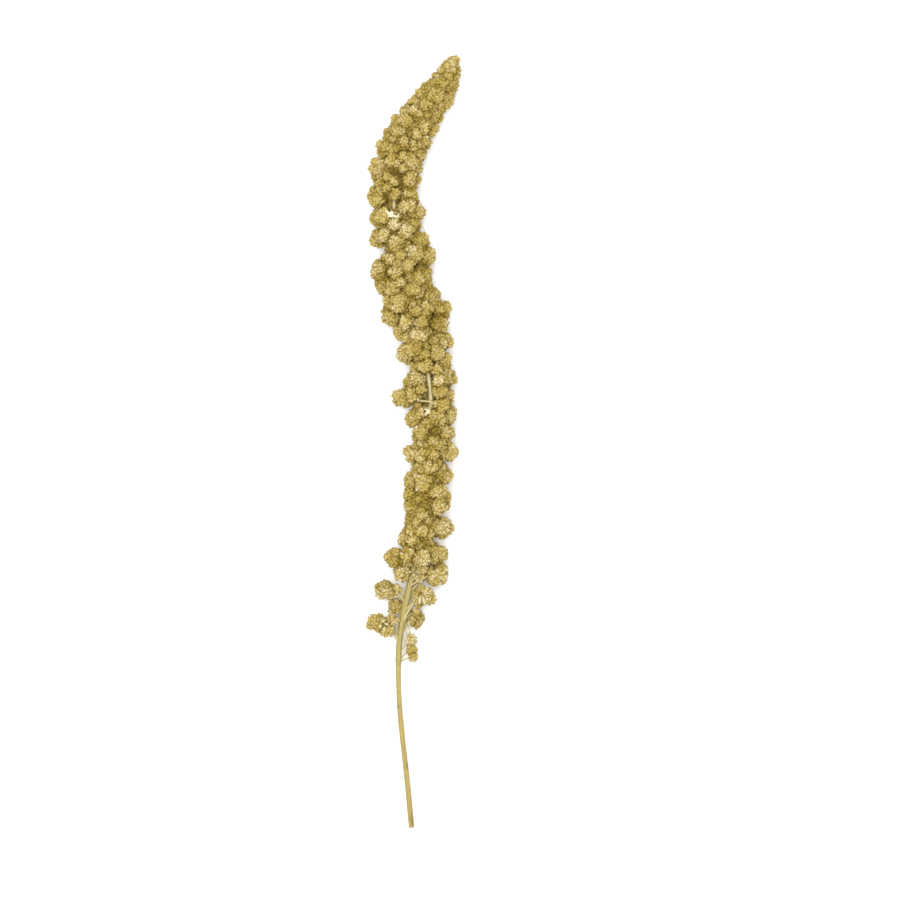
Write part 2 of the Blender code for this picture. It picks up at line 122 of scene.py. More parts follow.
# Small clusters between those at the foot, and two beside the bare rachis: x, y, z, radius, root y
SMALL_CLUSTERS = (
    (-7.2, -66.0, 12.4, 2.0, -70.0), (-12.6, -64.4, 12.8, 2.5, -68.0),
    (-9.4, -79.8, 11.0, 2.7, -84.5), (-0.9, -93.0, 8.8, 2.4, -96.0),
    (-0.2, -96.6, 8.2, 2.2, -98.0), (1.4, -76.2, 9.0, 1.3, -78.0), (4.3, 23.8, 14.2, 2.5, 21.0),
    (4.5, 28.8, 14.4, 2.2, 26.0),
)
# The foot clusters whose long husks fan out from one side: place in the table, way to that side
OPEN_CLUSTERS = {2: (-0.7, 0.35, 0.65), 4: (-0.55, 0.6, 0.6)}
# Spots on the upper side where the grains have dropped and pale stalklets are left: x, y, radius,
# number of bracts, and how fresh they still are
SHED_SPOTS = (
    (-10.1, 101.8, 2.9, 9, 1.0), (-7.2, 100.9, 1.8, 6, 0.9), (6.7, 13.7, 2.3, 8, 1.0),
    (1.1, 54.0, 1.4, 0, 0.4), (1.8, 49.0, 1.5, 0, 0.4), (-7.0, 75.6, 1.2, 0, 0.3),
)
# Patches of the upper side that are paler than the rest or, below zero, darker, which is painted
# shade: x, y, radius in millimetres, and by how much
TONE_PATCHES = (
    (-1.6, 125.6, 4.0, 0.3), (-6.1, 97.8, 5.0, 0.5), (-15.1, 118.8, 5.0, 0.2),
    (-7.4, 77.0, 3.0, 0.3), (0.7, 71.6, 4.5, 0.4), (-7.0, 60.8, 3.5, 0.15), (2.9, 61.6, 3.5, 0.2),
    (-0.2, 50.4, 5.0, 0.35), (13.3, 30.2, 4.5, 0.3), (8.3, 18.0, 3.5, 0.3), (15.5, 9.0, 4.0, 0.2),
    (-1.6, -4.5, 4.0, 0.3), (3.8, -10.4, 4.5, 0.35), (11.0, -27.0, 4.5, 0.2),
    (14.2, -36.0, 5.0, 0.35), (11.0, -50.9, 5.0, 0.3), (-0.2, -56.7, 5.0, 0.3),
    (5.5, -71.0, 5.0, -0.2), (-10.4, -80.8, 3.5, 0.5), (-11.0, -66.0, 3.0, 0.2),
    (6.5, 148.5, 2.5, -0.35), (1.8, 143.6, 2.5, -0.3), (-1.6, 140.4, 2.0, -0.3),
    (-3.8, 131.4, 2.5, -0.4), (-10.2, 121.3, 1.5, -1.1), (-7.6, 120.4, 1.6, -1.4),
    (-5.2, 119.4, 1.4, -0.7), (-6.4, 117.4, 1.1, -0.9), (-6.0, 114.6, 1.5, -1.3),
    (-11.7, 110.3, 2.2, -0.7), (-6.6, 107.6, 1.5, -0.8), (-10.4, 106.4, 1.6, -0.8),
    (1.0, 93.4, 2.5, -0.4), (-10.0, 91.2, 1.6, -0.4), (3.8, 78.3, 3.0, -0.6),
    (0.0, 64.4, 2.0, -0.5), (8.3, 55.9, 3.0, -0.6), (8.3, 50.5, 2.2, -0.5), (8.3, 45.3, 2.5, -0.3),
    (9.7, 4.5, 3.0, -0.7), (8.8, -15.8, 3.0, -0.4), (4.3, -27.5, 4.0, -0.6),
    (8.8, -35.1, 3.0, -0.3), (6.1, -45.0, 3.0, -0.3), (-8.4, -54.0, 4.0, -0.25),
    (-8.0, -74.5, 3.6, -0.2), (-19.5, -82.0, 2.5, -0.1), (-15.5, 73.0, 3.5, -0.2),
    (0.7, -80.0, 4.0, -0.3), (-0.3, -96.0, 3.0, -0.1), (-14.0, -66.5, 5.0, 0.45),
    (-6.0, 128.0, 14.0, -0.08), (-4.0, 90.0, 12.0, 0.08), (15.0, 163.0, 9.0, -0.2),
)
# How high above and below the growth line the patches fade in, except at the foot
PATCH_FADE = 8.0 * MM
# Thin bare twigs: three points of x, y, z and a radius, in millimetres
TWIGS = (
    ((-1.3, -64.4, 12.2), (2.2, -62.6, 13.4), (6.4, -60.2, 12.4), 0.34),
    ((-0.3, -62.0, 12.4), (2.0, -60.2, 14.2), (4.6, -59.2, 12.6), 0.24),
    ((-3.4, -82.2, 9.6), (-1.4, -84.6, 11.2), (-1.1, -87.0, 9.6), 0.26),
    ((-3.6, -83.4, 9.6), (-2.9, -86.6, 10.6), (-2.4, -88.2, 9.4), 0.22),
    ((3.0, 18.4, 18.0), (6.8, 18.4, 20.4), (10.6, 17.5, 21.2), 0.40),
    ((7.0, 18.2, 19.4), (8.2, 17.8, 20.0), (8.8, 17.0, 19.8), 0.6),
    ((7.4, 19.6, 16.0), (7.6, 16.0, 17.8), (7.2, 12.6, 18.4), 0.36),
    ((-5.0, -81.5, 9.8), (-1.6, -73.0, 11.8), (3.0, -69.6, 13.0), 0.5),
    ((-3.6, -67.6, 9.9), (-7.6, -70.4, 11.4), (-12.6, -70.2, 12.4), 0.44),
)

# Rule for the clusters that fill the head between its outlines
FILL_FROM_Y = -60.0 * MM
FILL_TO_Y = 170.0 * MM
FILL_STEP = 0.25 * MM
GOLDEN_ANGLE = math.radians(137.5)
# Each pass: share of the full cluster radius, how near two clusters may come, share of the reach,
# how much less far the clusters at the two sides reach, as a share, and whether the pass keeps
# clear of the valleys and of the shed spots
FILL_PASSES = (
    (1.0, 0.80, 1.0, 0.14, True, False), (0.85, 0.74, 1.0, 0.14, True, False),
    (0.60, 0.62, 0.5, 0.14, False, True), (0.55, 0.64, 0.92, 0.5, True, True),
)
SIZE_JITTER = 0.14
REACH_JITTER = 0.06
# Places on the upper side that the clusters leave bare, so that the rachis shows, and those where
# only small deep clusters lie, so that there is a valley: x, y and radius in millimetres
BARE_SPOTS = (
    (7.3, 29.5, 0.5), (7.6, 25.5, 0.5), (7.9, 21.0, 0.5), (7.8, 16.5, 0.3), (4.8, 18.3, 0.2),
    (-8.4, 105.5, 0.4), (-8.3, 109.0, 0.3), (0.0, -58.0, 1.2),
)
VALLEYS = (
    (7.0, 148.5, 0.3), (1.6, 144.0, 0.3), (-2.0, 139.5, 0.3), (-2.5, 131.2, 0.3),
    (-7.9, 121.3, 0.6), (-5.2, 113.9, 0.3), (-11.9, 110.3, 0.3), (0.9, 92.7, 0.3),
    (-0.2, 97.2, 0.3), (3.8, 78.8, 0.6), (-12.4, 73.4, 0.3), (0.7, 64.4, 0.3), (8.5, 54.0, 0.6),
    (9.7, 4.5, 0.4), (10.6, -14.9, 0.4), (4.7, -27.5, 0.5), (9.2, -35.6, 0.3), (4.7, -46.8, 0.3),
)
# Notches in the outline that the filling clusters keep clear of at any height, in the same terms
NOTCHES = ((-13.4, 86.2, 1.8), (-14.9, 105.6, 0.4), (-15.6, 97.0, 0.3))
# The share of a shed spot's radius that the filling clusters keep clear of
SCAR_SHARE = 0.3
# How far the lowest clusters are pressed flat by the surface
SETTLING = 0.4 * MM

# Along the head, by y in millimetres, and in these columns: outer, cluster and rachis radius
OUTER, CLUSTER, RACHIS = 1, 2, 3
PROFILE = (
    (-98.0, 6.0, 3.0, 1.1), (-84.0, 8.0, 3.8, 1.2), (-66.0, 9.8, 4.55, 1.5),
    (-60.0, 10.4, 4.8, 1.5), (-46.0, 12.2, 5.2, 1.3), (-20.0, 12.4, 5.2, 1.1),
    (20.0, 12.4, 5.0, 0.75), (60.0, 12.8, 5.0, 0.7), (90.0, 12.2, 4.8, 0.7),
    (120.0, 11.6, 4.5, 0.65), (140.0, 10.6, 4.2, 0.6), (155.0, 8.4, 3.7, 0.6),
    (165.0, 6.2, 3.1, 0.5), (171.5, 4.2, 2.6, 0.5),
)
TIP_CLUSTER_RADIUS = 3.0 * MM

# Where the rachis rises towards the upper side: y, rise and half-length in millimetres
RACHIS_RISES = ((28.5, 5.2, 6.0), (18.5, 5.2, 6.0), (106.8, 4.6, 5.0))

# The grain pieces, each with the y where it starts, in millimetres
GRAIN_PIECES = (
    ("grains_foot", -1000.0),
    ("grains_lower", -26.0),
    ("grains_middle", 18.0),
    ("grains_upper", 62.0),
    ("grains_tip", 110.0),
)
# The columns of the rows that place the grains; DEPTH holds each grain's painted shade
SPOT, AXIS, SIZES, TONE, DEPTH = slice(0, 3), slice(3, 6), slice(6, 9), 9, 10
# A grain's outline along its length: share of the length, share of the half-width
GRAIN_OUTLINE = ((0.05, 0.56), (0.45, 1.0), (0.82, 0.72))
GRAIN_SIDES = 5

# The vertex colour. On husks it holds a chance value, the place along the husk, how much painted
# shade it takes and its tone; on straw it holds how tan, green, brown and pale it is, the pale being
# fresh straw and, where the rachis rises, partly painted light, and the green on the rachis's left
# side being painted shade
VERTEX_COLOUR = "husk"
# How much of its pitch's square each place takes where places lie in even triangles
TRIANGLE_PACKING = 0.866

# How lobes stand on a cluster: their spacing as a share of the lobe's radius, and their scatter
LOBE_SPACING = 1.45
LOBE_SCATTER = 0.15
# The smallest and largest lobe, how far out lobes sit, and how much further a cluster reaches
# along its branch, all as shares
LOBE_SIZES = (0.75, 1.22)
LOBE_REACH = (0.84, 1.08)
LOBE_STRETCH = (-0.05, 0.16)
# The cluster radius at which lobes have their full radius, and how fast they shrink below it
FULL_CLUSTER = 5.0 * MM
LOBE_SHRINK = 0.6
# How unevenly grains stand on a lobe, as a share of their pitch, and how far into a neighbouring
# lobe they may stand
GRAIN_SCATTER = 0.20
LOBE_LAP = 0.3 * MM
# The solid heart of a cluster, as a share of its radius
HEART = 0.66
# How deep below a cluster's radius husks take their fullest painted shade
LOBE_DEPTH = 1.6 * MM
# How near to another cluster husks start to darken with painted shade, as a share of the cluster's
# radius, and the run of y towards the tip over which that fades to a share
VALLEY_WIDTH = 0.6
VALLEY_FADE = (110.0 * MM, 155.0 * MM)
VALLEY_LEFT = 0.6

# How much painted shade husks take deep in a cluster, next to other clusters and on a cluster's
# flanks, how much painted shade a dark patch adds, and the most painted shade of all
INNER_SHADE = 0.35
VALLEY_SHADE = 0.65
FLANK_SHADE = 0.46
FLANK_POWER = 1.5
PATCH_SHADE = 1.6
DEEPEST = 1.6
# A grain's tone: the shares of its lobe's and its cluster's own tone, and what all have, with the
# tone of the open clusters and of the core
TONE_SHARES = (0.45, 0.4, 0.1)
OPEN_TONE = 0.4

# How grains lean: outward from the cluster, up along the head, and at random
LEAN_OUT = 0.2
LEAN_UP = 0.25
LEAN_SCATTER = 0.25
# How much grains differ in size and, less, in shape, and the least and greatest size, as shares
SIZE_SPREAD = 0.12
SHAPE_SPREAD = 0.05
SIZE_LIMITS = (0.7, 1.3)
# The palest tone that a patch can give a grain
PALEST = 1.4
# Length, width and thickness of an open cluster's husks, as shares of an ordinary grain's
OPEN_STRETCH = (1.35, 0.95, 0.85)
# How much the husks that fan out from one side of an open cluster rise off it too
OPEN_RISE = 0.5
# How unevenly they lie, as a share of other grains' scatter
OPEN_SCATTER = 0.25
# A gaping husk, outside from foot to lip and back down inside: share of the height, share of the
# half-width; how far its two lips rise above the corners between them, as a share of the height
HUSK_OUTLINE = (
    (0.0, 0.34), (0.30, 0.86), (0.68, 1.0), (1.0, 0.86), (0.97, 0.70), (0.60, 0.72), (0.32, 0.34),
)
HUSK_INSIDE = 4
HUSK_SIDES = 8
HUSK_LIPS = 0.20
# How deep a gaping husk sits and its half-thickness, as shares of its length and its width, and the
# chance value that gives it its colour
HUSK_SEAT = 0.45
HUSK_HALF = 0.36
HUSK_CHANCE = 0.97
# The steepest downward way, and the most painted shade, at which a gaping husk still stands
HUSK_FACING = -0.2
HUSK_DEEPEST = 0.5
# How much likelier a gaping husk is at the foot than on the dense head, and the run of y over
# which that fades
FOOT_HUSK_ODDS = 5.0
FOOT_HUSK_FADE = (-60.0 * MM, -30.0 * MM)
# Large pale glumes at the foot: x, y and z of the middle, the way they point, and their length,
# width and thickness in millimetres
GLUMES = (
    (2.8, -71.4, 19.8, -0.12, -0.9, -0.15, 4.6, 2.0, 1.5),
    (4.8, -71.6, 19.6, 0.26, -0.9, -0.15, 4.8, 2.0, 1.5),
    (0.2, -59.6, 14.2, 0.3, 0.5, 0.8, 2.6, 2.3, 2.1),
    (1.6, -58.2, 14.2, 0.8, 0.3, 0.6, 2.4, 1.6, 1.4),
    (-14.9, -82.6, 14.0, 0.2, 0.4, 0.9, 2.8, 1.8, 1.6),
    (-13.4, -80.4, 14.2, 0.6, 0.5, 0.6, 3.0, 1.7, 1.2),
    (-12.0, -81.8, 14.4, 0.8, -0.3, 0.5, 3.0, 1.6, 1.2),
    (-13.2, -84.0, 14.4, -0.2, -0.7, 0.6, 3.0, 1.6, 1.2),
    (-10.6, -66.6, 15.6, 0.5, -0.3, 0.8, 2.6, 1.6, 1.3),
)

# How finely the rachis and its ribs are made
RACHIS_STEP = 1.2 * MM
RACHIS_SIDES = 18
RACHIS_RIBS = 6
RACHIS_RIB_HEIGHT = 0.10
# How much the rachis swells where a branch leaves it, and half the length of the swelling
SWELL_HEIGHT = 0.12 * MM
SWELL_HALF = 1.6 * MM
# How uneven the radii of the rachis and the stalk are, as a share
UNEVEN = 0.02
# How far below its root a branch starts to part from the rachis, as a share of its length
BRANCH_RUN = 0.6
BRANCH_SIDES = 6
BRANCH_STEPS = 7
# The radius of a foot cluster whose branch is as thick as any other, and how fast such branches
# thicken with the cluster
THIN_BRANCH = 3.0 * MM
BRANCH_GROWTH = 1.2
# How finely the stalklets to the lobes of the foot's clusters are made, and their radius
PEDICEL_SIDES = 5
PEDICEL_STEPS = 5
PEDICEL_RADIUS = 0.2 * MM
# How far bristles lean from their grain's axis, how much they bend, how deep they start, how far
# they keep off the surface, and their thickness from end to end
BRISTLE_LEAN = 0.35
BRISTLE_BEND = 0.16
BRISTLE_DEPTH = 0.9 * MM
BRISTLE_CLEAR = 0.15 * MM
BRISTLE_TAPER = (1.0, 0.75, 0.25)
# Stalklets at a shed spot, for each square millimetre, their radius, and how deep they start
STALKLETS = 2.4
STALKLET_RADIUS = 0.15 * MM
STALKLET_DROP = 0.9 * MM
# The share of a shed spot's radius within which no grain is left, and how far it stands proud
SHED_SHARE = 0.55
SHED_LIFT = 0.5 * MM
# The pale bracts that star out from a shed spot: their thickness from end to end, as shares of
# the spot's radius, and how high they start above it
BRACT_SHAPE = (0.13, 0.17, 0.15, 0.05)
BRACT_LIFT = 0.3 * MM

# The chaff core: where it starts, over what length it swells, and how finely it is made
CORE_FROM_Y = -56.0 * MM
CORE_SHOULDER = 10.0 * MM
CORE_STEP = 1.0 * MM
CORE_SIDES = 30
# The core's least radius, and how far it sinks where the rachis rises, as a share
CORE_LEAST = 0.6 * MM
CORE_SINK = 0.5
# The core's width as a share of its height, and its lumps: their height as a share of the radius,
# how many stand round it, and their length along it
CORE_FLATNESS = (0.72, 1.0, 1.0)
CORE_LUMP = 0.16
CORE_LUMPS_ROUND = 5
CORE_LUMP_LENGTH = 4.6 * MM
# How far out the core's own chaff lies under its grains, as a share
CORE_CHAFF = 0.94
# How unevenly grains stand on the core: round it in radians, along it as a share of their pitch, how
# much more they lean than others, and how much they differ in size
CORE_TURN = 0.09
CORE_SHIFT = 0.3
CORE_LEAN = 1.5
CORE_SPREAD = 0.1
# The cluster radius from which the chaff ball of a cluster is made finely
FINE_FROM = 3.3 * MM

# How finely the bare stalk is made, and its ribs
STALK_STATIONS = 97
STALK_SIDES = 36
STALK_RIBS = 12
STALK_RIB_HEIGHT = 0.022
STALK_SWELLS = 14
PITH_DEPTH = 0.5 * MM
# The rings of the cut end from its middle out, as shares of the stalk's radius
PITH_RINGS = (0.1, 0.6, 0.7)
# From what angle an edge of the straw pieces, and of the bare stalk, is shown sharp
SHARP_STRAW = math.radians(60)
SHARP_STALK = math.radians(50)
# Patches on the stalk: 0 tan, 1 green or 2 brown; middle y and half-length in millimetres; the
# side that it lies on, from -1 at the left to 1 at the right
STALK_PATCHES = (
    (0, -141.0, 9.0, 0.6), (0, -164.0, 13.0, 0.0), (0, -124.0, 4.0, -0.8),
    (0, -160.0, 12.0, -0.6), (1, -111.5, 7.0, -1.0), (1, -160.0, 14.0, -0.4),
    (1, -132.0, 4.0, 0.8), (2, -171.0, 3.4, 1.2), (2, -146.0, 1.2, 0.9), (2, -119.0, 0.9, -0.9),
)

# The point of the floor plan at the middle of the picture, and the height that is in true scale
PICTURE_MIDDLE = (16.4 * MM, -3.6 * MM)
SUBJECT_HEIGHT = 9.0 * MM
# The side of the square lamp, where it hangs and how far the camera sees, in metres
LAMP_SIZE = 1.6
LAMP_PLACE = (-0.14, 0.14, 2.6)
VIEW_DEPTH = 50.0


def tone(red, green, blue):
    """A display colour of 0 to 255 as the linear colour that a material takes."""
    shares = [c / 255 for c in (red, green, blue)]
    linear = [s / 12.92 if s <= 0.04045 else ((s + 0.055) / 1.055) ** 2.4 for s in shares]
    return (*linear, 1.0)


# The plan of the head

def growth_points():
    """The growth line as a smooth curve of closely spaced points."""
    marks = [Vector(p) * MM for p in GROWTH_LINE]
    marks = [2 * marks[0] - marks[1], *marks, 2 * marks[-1] - marks[-2]]
    points = []
    for a, b, c, d in zip(marks, marks[1:], marks[2:], marks[3:]):
        for step in range(STEPS_PER_SPAN):
            t = step / STEPS_PER_SPAN
            points.append(
                0.5 * (2 * b + (c - a) * t + (2 * a - 5 * b + 4 * c - d) * t**2
                       + (3 * b - a - 3 * c + d) * t**3)
            )
    return [*points, marks[-2]]


def profile_at(y, column):
    """The outer, cluster or rachis radius where the growth line passes y."""
    table = np.array(PROFILE) * MM
    return np.interp(y, table[:, 0], table[:, column])


def frame_at_y(points, y):
    """Point, forward, right and up of the growth line where it passes y, which only rises."""
    for a, b in zip(points, points[1:]):
        if b.y >= y:
            break
    forward = (b - a).normalized()
    right = forward.cross(Vector((0, 0, 1))).normalized()
    return a.lerp(b, (y - a.y) / (b.y - a.y)), forward, right, right.cross(forward)


def plan_clusters(points, table, raised):
    """The clusters of one table, level with the growth line or raised as far as the head reaches."""
    placed = []
    for x, y, radius in table:
        place = Vector((x, y, 0)) * MM
        root = min(points, key=lambda p: (p.xy - place.xy).length)
        reach = profile_at(root.y, OUTER) - radius * MM
        rise = math.sqrt(max(reach**2 - (place.xy - root.xy).length ** 2, 0.0))
        place.z = root.z + rise * raised
        placed.append((place, radius * MM, root))
    return placed


def standing_clusters(points, table):
    """The clusters whose places are given one by one, with the root of each on the growth line."""
    placed = []
    for x, y, z, radius, root_y in table:
        root = frame_at_y(points, root_y * MM)[0]
        placed.append((Vector((x, y, z)) * MM, radius * MM, root))
    return placed


def in_spot(place, radius, spots):
    """Whether a cluster there would cover any of the spots."""
    return any(
        (place.xy - Vector((x, y)) * MM).length < radius + spot * MM for x, y, spot in spots
    )


def fill_clusters(points, placed, chance):
    """Clusters on a golden spiral round the growth line, wherever there is still room."""
    scars = tuple((x, y, SCAR_SHARE * radius) for x, y, radius, bracts, _ in SHED_SPOTS if bracts)
    for share, crowding, reach_share, side_draw, off_valleys, off_scars in FILL_PASSES:
        spots = BARE_SPOTS + (VALLEYS if off_valleys else ()) + (scars if off_scars else ())
        turn, y = 0.0, FILL_FROM_Y
        while y < FILL_TO_Y:
            root, forward, right, up = frame_at_y(points, y)
            radius = profile_at(y, CLUSTER) * share * (1 + SIZE_JITTER * chance.uniform(-1, 1))
            draw = 1 - side_draw * math.cos(turn) ** 2 + REACH_JITTER * chance.uniform(-1, 1)
            reach = (profile_at(y, OUTER) - radius) * reach_share * draw
            place = root + (right * math.cos(turn) + up * math.sin(turn)) * reach
            place.z = max(place.z, radius - SETTLING)
            clear = all(
                (place - other).length > crowding * (radius + size) for other, size, _ in placed
            )
            kept_clear = spots + NOTCHES if place.z > root.z else NOTCHES
            if clear and not in_spot(place, radius, kept_clear):
                placed.append((place, radius, root))
            turn += GOLDEN_ANGLE
            y += FILL_STEP


def head_clusters(points):
    """Place, radius and root of every cluster: those of the foot first, then the dense head's."""
    placed = standing_clusters(points, FOOT_CLUSTERS)
    placed += plan_clusters(points, LEFT_CLUSTERS + RIGHT_CLUSTERS, raised=False)
    placed += plan_clusters(points, FRONT_CLUSTERS, raised=True)
    placed.append((points[-1].copy(), TIP_CLUSTER_RADIUS, points[-1]))
    fill_clusters(points, placed, random.Random(SEEDS["clusters"]))
    return placed


# Shapes in arrays

def chance_for(part):
    """A part's own round of chance."""
    return np.random.default_rng(SEEDS[part])


def unit(vectors):
    return vectors / np.maximum(np.linalg.norm(vectors, axis=-1, keepdims=True), 1e-12)


def bell(x, middle, half):
    """1 at the middle, falling away smoothly on both sides of it."""
    return np.exp(-(((x - middle) / half) ** 2))


def read_at(x, marks, table):
    """The table's rows, which belong to the marks, read at each x."""
    return np.stack([np.interp(x, marks, column) for column in table.T], axis=-1)


def places_for(area, pitch):
    """How many places lie on the area at that pitch."""
    return round(area / (pitch**2 * TRIANGLE_PACKING))


def ring_faces(rings, sides, clockwise=False):
    """Corners of the quads between rings of points, and the number of corners of each."""
    low = np.arange(rings - 1)[:, None] * sides
    here, after = np.arange(sides), np.roll(np.arange(sides), -1)
    quad = [low + here, low + after, low + sides + after, low + sides + here]
    if clockwise:
        quad = [quad[0], *quad[:0:-1]]
    return list(np.stack(quad, axis=-1).ravel()), [4] * ((rings - 1) * sides)


def even_directions(count):
    """Directions spread evenly over a sphere, along a golden spiral."""
    k = np.arange(count) + 0.5
    height = 1 - 2 * k / count
    flat = np.sqrt(1 - height**2)
    return np.stack(
        [flat * np.cos(GOLDEN_ANGLE * k), flat * np.sin(GOLDEN_ANGLE * k), height], axis=1
    )


def random_turn(chance):
    """A rotation matrix, taken evenly from all rotations."""
    turn, _ = np.linalg.qr(chance.normal(size=(3, 3)))
    return turn * np.sign(np.linalg.det(turn))


def side_vectors(axes, angles):
    """Two vectors square to each axis and to each other, turned about it by the angle."""
    spare = np.where(np.abs(axes[:, 2:]) < 0.8, [[0.0, 0.0, 1.0]], [[1.0, 0.0, 0.0]])
    first = unit(np.cross(axes, spare))
    second = np.cross(axes, first)
    c, s = np.cos(angles)[:, None], np.sin(angles)[:, None]
    return first * c + second * s, second * c - first * s


class Bundle:
    """Points, faces and vertex colours that are gathered for one mesh."""

    def __init__(self):
        self.points, self.corners, self.counts, self.colours = [], [], [], []
        self.size = 0

    def add(self, points, corners, counts, colours):
        self.points.append(points)
        self.corners.append(np.asarray(corners) + self.size)
        self.counts.append(np.asarray(counts))
        self.colours.append(np.broadcast_to(colours, (len(points), 4)))
        self.size += len(points)

    def add_stick(self, start, knee, end, radii, sides, colour):
        """Adds a closed tube along the arc, with one radius for each of its points."""
        self.add(*sweep(arc(start, knee, end, len(radii)), radii, sides), colour)

    def make(self, name, finish, sharp_angle=None):
        """Makes the object, smooth shaded, with the vertex colours that its finish reads."""
        if not self.size:
            raise RuntimeError(f"{name} has no points, so there is nothing to make")
        corners = np.concatenate(self.corners).astype(np.int32)
        counts = np.concatenate(self.counts).astype(np.int32)
        mesh = bpy.data.meshes.new(name)
        mesh.vertices.add(self.size)
        mesh.vertices.foreach_set("co", np.concatenate(self.points).astype(np.float32).ravel())
        mesh.loops.add(len(corners))
        mesh.loops.foreach_set("vertex_index", corners)
        mesh.polygons.add(len(counts))
        mesh.polygons.foreach_set("loop_start", np.cumsum(counts, dtype=np.int32) - counts)
        mesh.update(calc_edges=True)
        layer = mesh.color_attributes.new(VERTEX_COLOUR, "FLOAT_COLOR", "POINT")
        colours = np.concatenate(self.colours).astype(np.float32)
        layer.data.foreach_set("color", colours.ravel())
        mesh.shade_smooth()
        if sharp_angle:
            mesh.set_sharp_from_angle(angle=sharp_angle)
        mesh.materials.append(finish)
        piece = bpy.data.objects.new(name, mesh)
        bpy.context.scene.collection.objects.link(piece)
        return piece


def sweep(path, radii, sides, ribs=0, rib_height=0.0, ahead=None):
    """A closed tube along the path: its points, the corners of its faces, and corners per face."""
    path = np.asarray(path, float)
    ahead = unit(np.gradient(path, axis=0)) if ahead is None else ahead
    spare = np.eye(3)[np.abs(unit(path[-1] - path[0])).argmin()]
    across = unit(np.cross(ahead, spare))
    over = np.cross(across, ahead)
    angle = 2 * np.pi * np.arange(sides) / sides
    swell = 1 + rib_height * np.cos(ribs * angle) if ribs else np.ones(sides)
    spokes = (
        across[:, None] * (np.cos(angle) * swell)[None, :, None]
        + over[:, None] * (np.sin(angle) * swell)[None, :, None]
    )
    points = path[:, None] + spokes * np.asarray(radii, float)[:, None, None]
    corners, counts = ring_faces(len(path), sides, clockwise=True)
    last = (len(path) - 1) * sides
    corners += [*range(sides), *range(last + sides - 1, last - 1, -1)]
    return points.reshape(-1, 3), corners, counts + [sides, sides]


def arc(start, knee, end, steps):
    """Points of a smooth arc that leaves the start towards the knee and comes in to the end."""
    t = np.linspace(0, 1, steps)[:, None]
    start, knee, end = np.array(start), np.array(knee), np.array(end)
    return start * (1 - t) ** 2 + 2 * knee * t * (1 - t) + end * t**2


# Clusters, lobes and grains

def core_radius(y, share):
    """Radius of the chaff round the rachis, which sinks away where the rachis shows."""
    dense = np.clip((y - CORE_FROM_Y) / CORE_SHOULDER, 0, 1)
    sink = CORE_SINK * sum(bell(y / MM, middle, half) for middle, _, half in RACHIS_RISES)
    return np.maximum(CORE_LEAST, dense * share * profile_at(y, OUTER) * (1 - sink.clip(0, 1)))


def core_lumps(turn, y):
    """How much the lumps of the core swell it, at a turn round it and a place along it."""
    along = 2 * np.pi * y / CORE_LUMP_LENGTH
    waves = np.sin(CORE_LUMPS_ROUND * turn + 0.4 * along) * np.sin(0.6 * along - 2 * turn)
    return 1 + CORE_LUMP * (waves + 0.5 * np.sin(along + 3 * turn))


class Cluster:
    """One ball of lobes: its place, its radius, the root of its branch, and its lobes."""

    def __init__(self, place, radius, root, chance, lobe_radius):
        self.place, self.radius, self.root = np.array(place), radius, np.array(root)
        size = lobe_radius * (radius / FULL_CLUSTER) ** LOBE_SHRINK
        count = max(5, places_for(4 * math.pi * (radius - size) ** 2, LOBE_SPACING * size))
        ways = even_directions(count) @ random_turn(chance).T
        ways = unit(ways + chance.normal(0, LOBE_SCATTER, ways.shape))
        self.sizes = size * chance.uniform(*LOBE_SIZES, count)
        self.lobes = ways * ((radius - self.sizes) * chance.uniform(*LOBE_REACH, count))[:, None]
        outward = unit(self.place - self.root)
        stretch = chance.uniform(*LOBE_STRETCH) * radius
        self.lobes += outward * (ways @ outward)[:, None] * stretch
        self.tone = chance.uniform()
        self.lobe_tones = chance.uniform(size=count)

    def reach(self, ways, inset):
        """How far the lobes, made smaller by the inset, reach each way from the middle."""
        sizes = self.sizes - inset
        along = ways @ self.lobes.T
        rest = sizes**2 - (self.lobes**2).sum(1) + along**2
        far = np.where(rest > 0, along + np.sqrt(np.maximum(rest, 0)), 0)
        return np.maximum(far.max(1), HEART * self.radius)


def grown_clusters(settings):
    """Every cluster with its lobes, and the growth points that carry them."""
    points = growth_points()
    chance = chance_for("clusters")
    placed = head_clusters(points) + standing_clusters(points, SMALL_CLUSTERS)
    lobe_radius = settings.lobe_radius
    return points, [Cluster(*row, chance, lobe_radius) for row in placed]


def from_line(points, places):
    """How far each place lies from the growth line, measured so that the oval core is round."""
    line = np.array(points)
    level = read_at(places[:, 1], line[:, 1], line)
    return np.linalg.norm((places - level) / CORE_FLATNESS, axis=1)


def lean_at(points, places):
    """The growth line's forward direction beside each place."""
    line = np.array(points)
    return read_at(places[:, 1], line[:, 1], unit(np.gradient(line, axis=0)))


def lobe_grains(cluster, pitch, chance):
    """Where grains sit on a cluster: the surface points, the way each lobe faces, and lobe tones."""
    spots, ways, tones = [], [], []
    for number, (lobe, size) in enumerate(zip(cluster.lobes, cluster.sizes)):
        count = max(12, places_for(4 * math.pi * size**2, pitch))
        way = even_directions(count) @ random_turn(chance).T
        way = unit(way + chance.normal(0, GRAIN_SCATTER * pitch / size, way.shape))
        spot = lobe + way * size
        others = np.delete(np.arange(len(cluster.lobes)), number)
        gaps = np.linalg.norm(spot[:, None] - cluster.lobes[others][None], axis=2)
        free = (gaps > cluster.sizes[others] - LOBE_LAP).all(1)
        free &= np.linalg.norm(spot, axis=1) > HEART * cluster.radius
        spots.append(spot[free])
        ways.append(way[free])
        tones.append(np.full(free.sum(), cluster.lobe_tones[number]))
    return np.concatenate(spots), np.concatenate(ways), np.concatenate(tones)


def fanned(spots, side, radius):
    """Which way the husks of an open cluster lie, fanned out from one side of it."""
    focus = unit(np.array(side)) * radius
    return unit(unit(spots - focus) + OPEN_RISE * unit(spots))


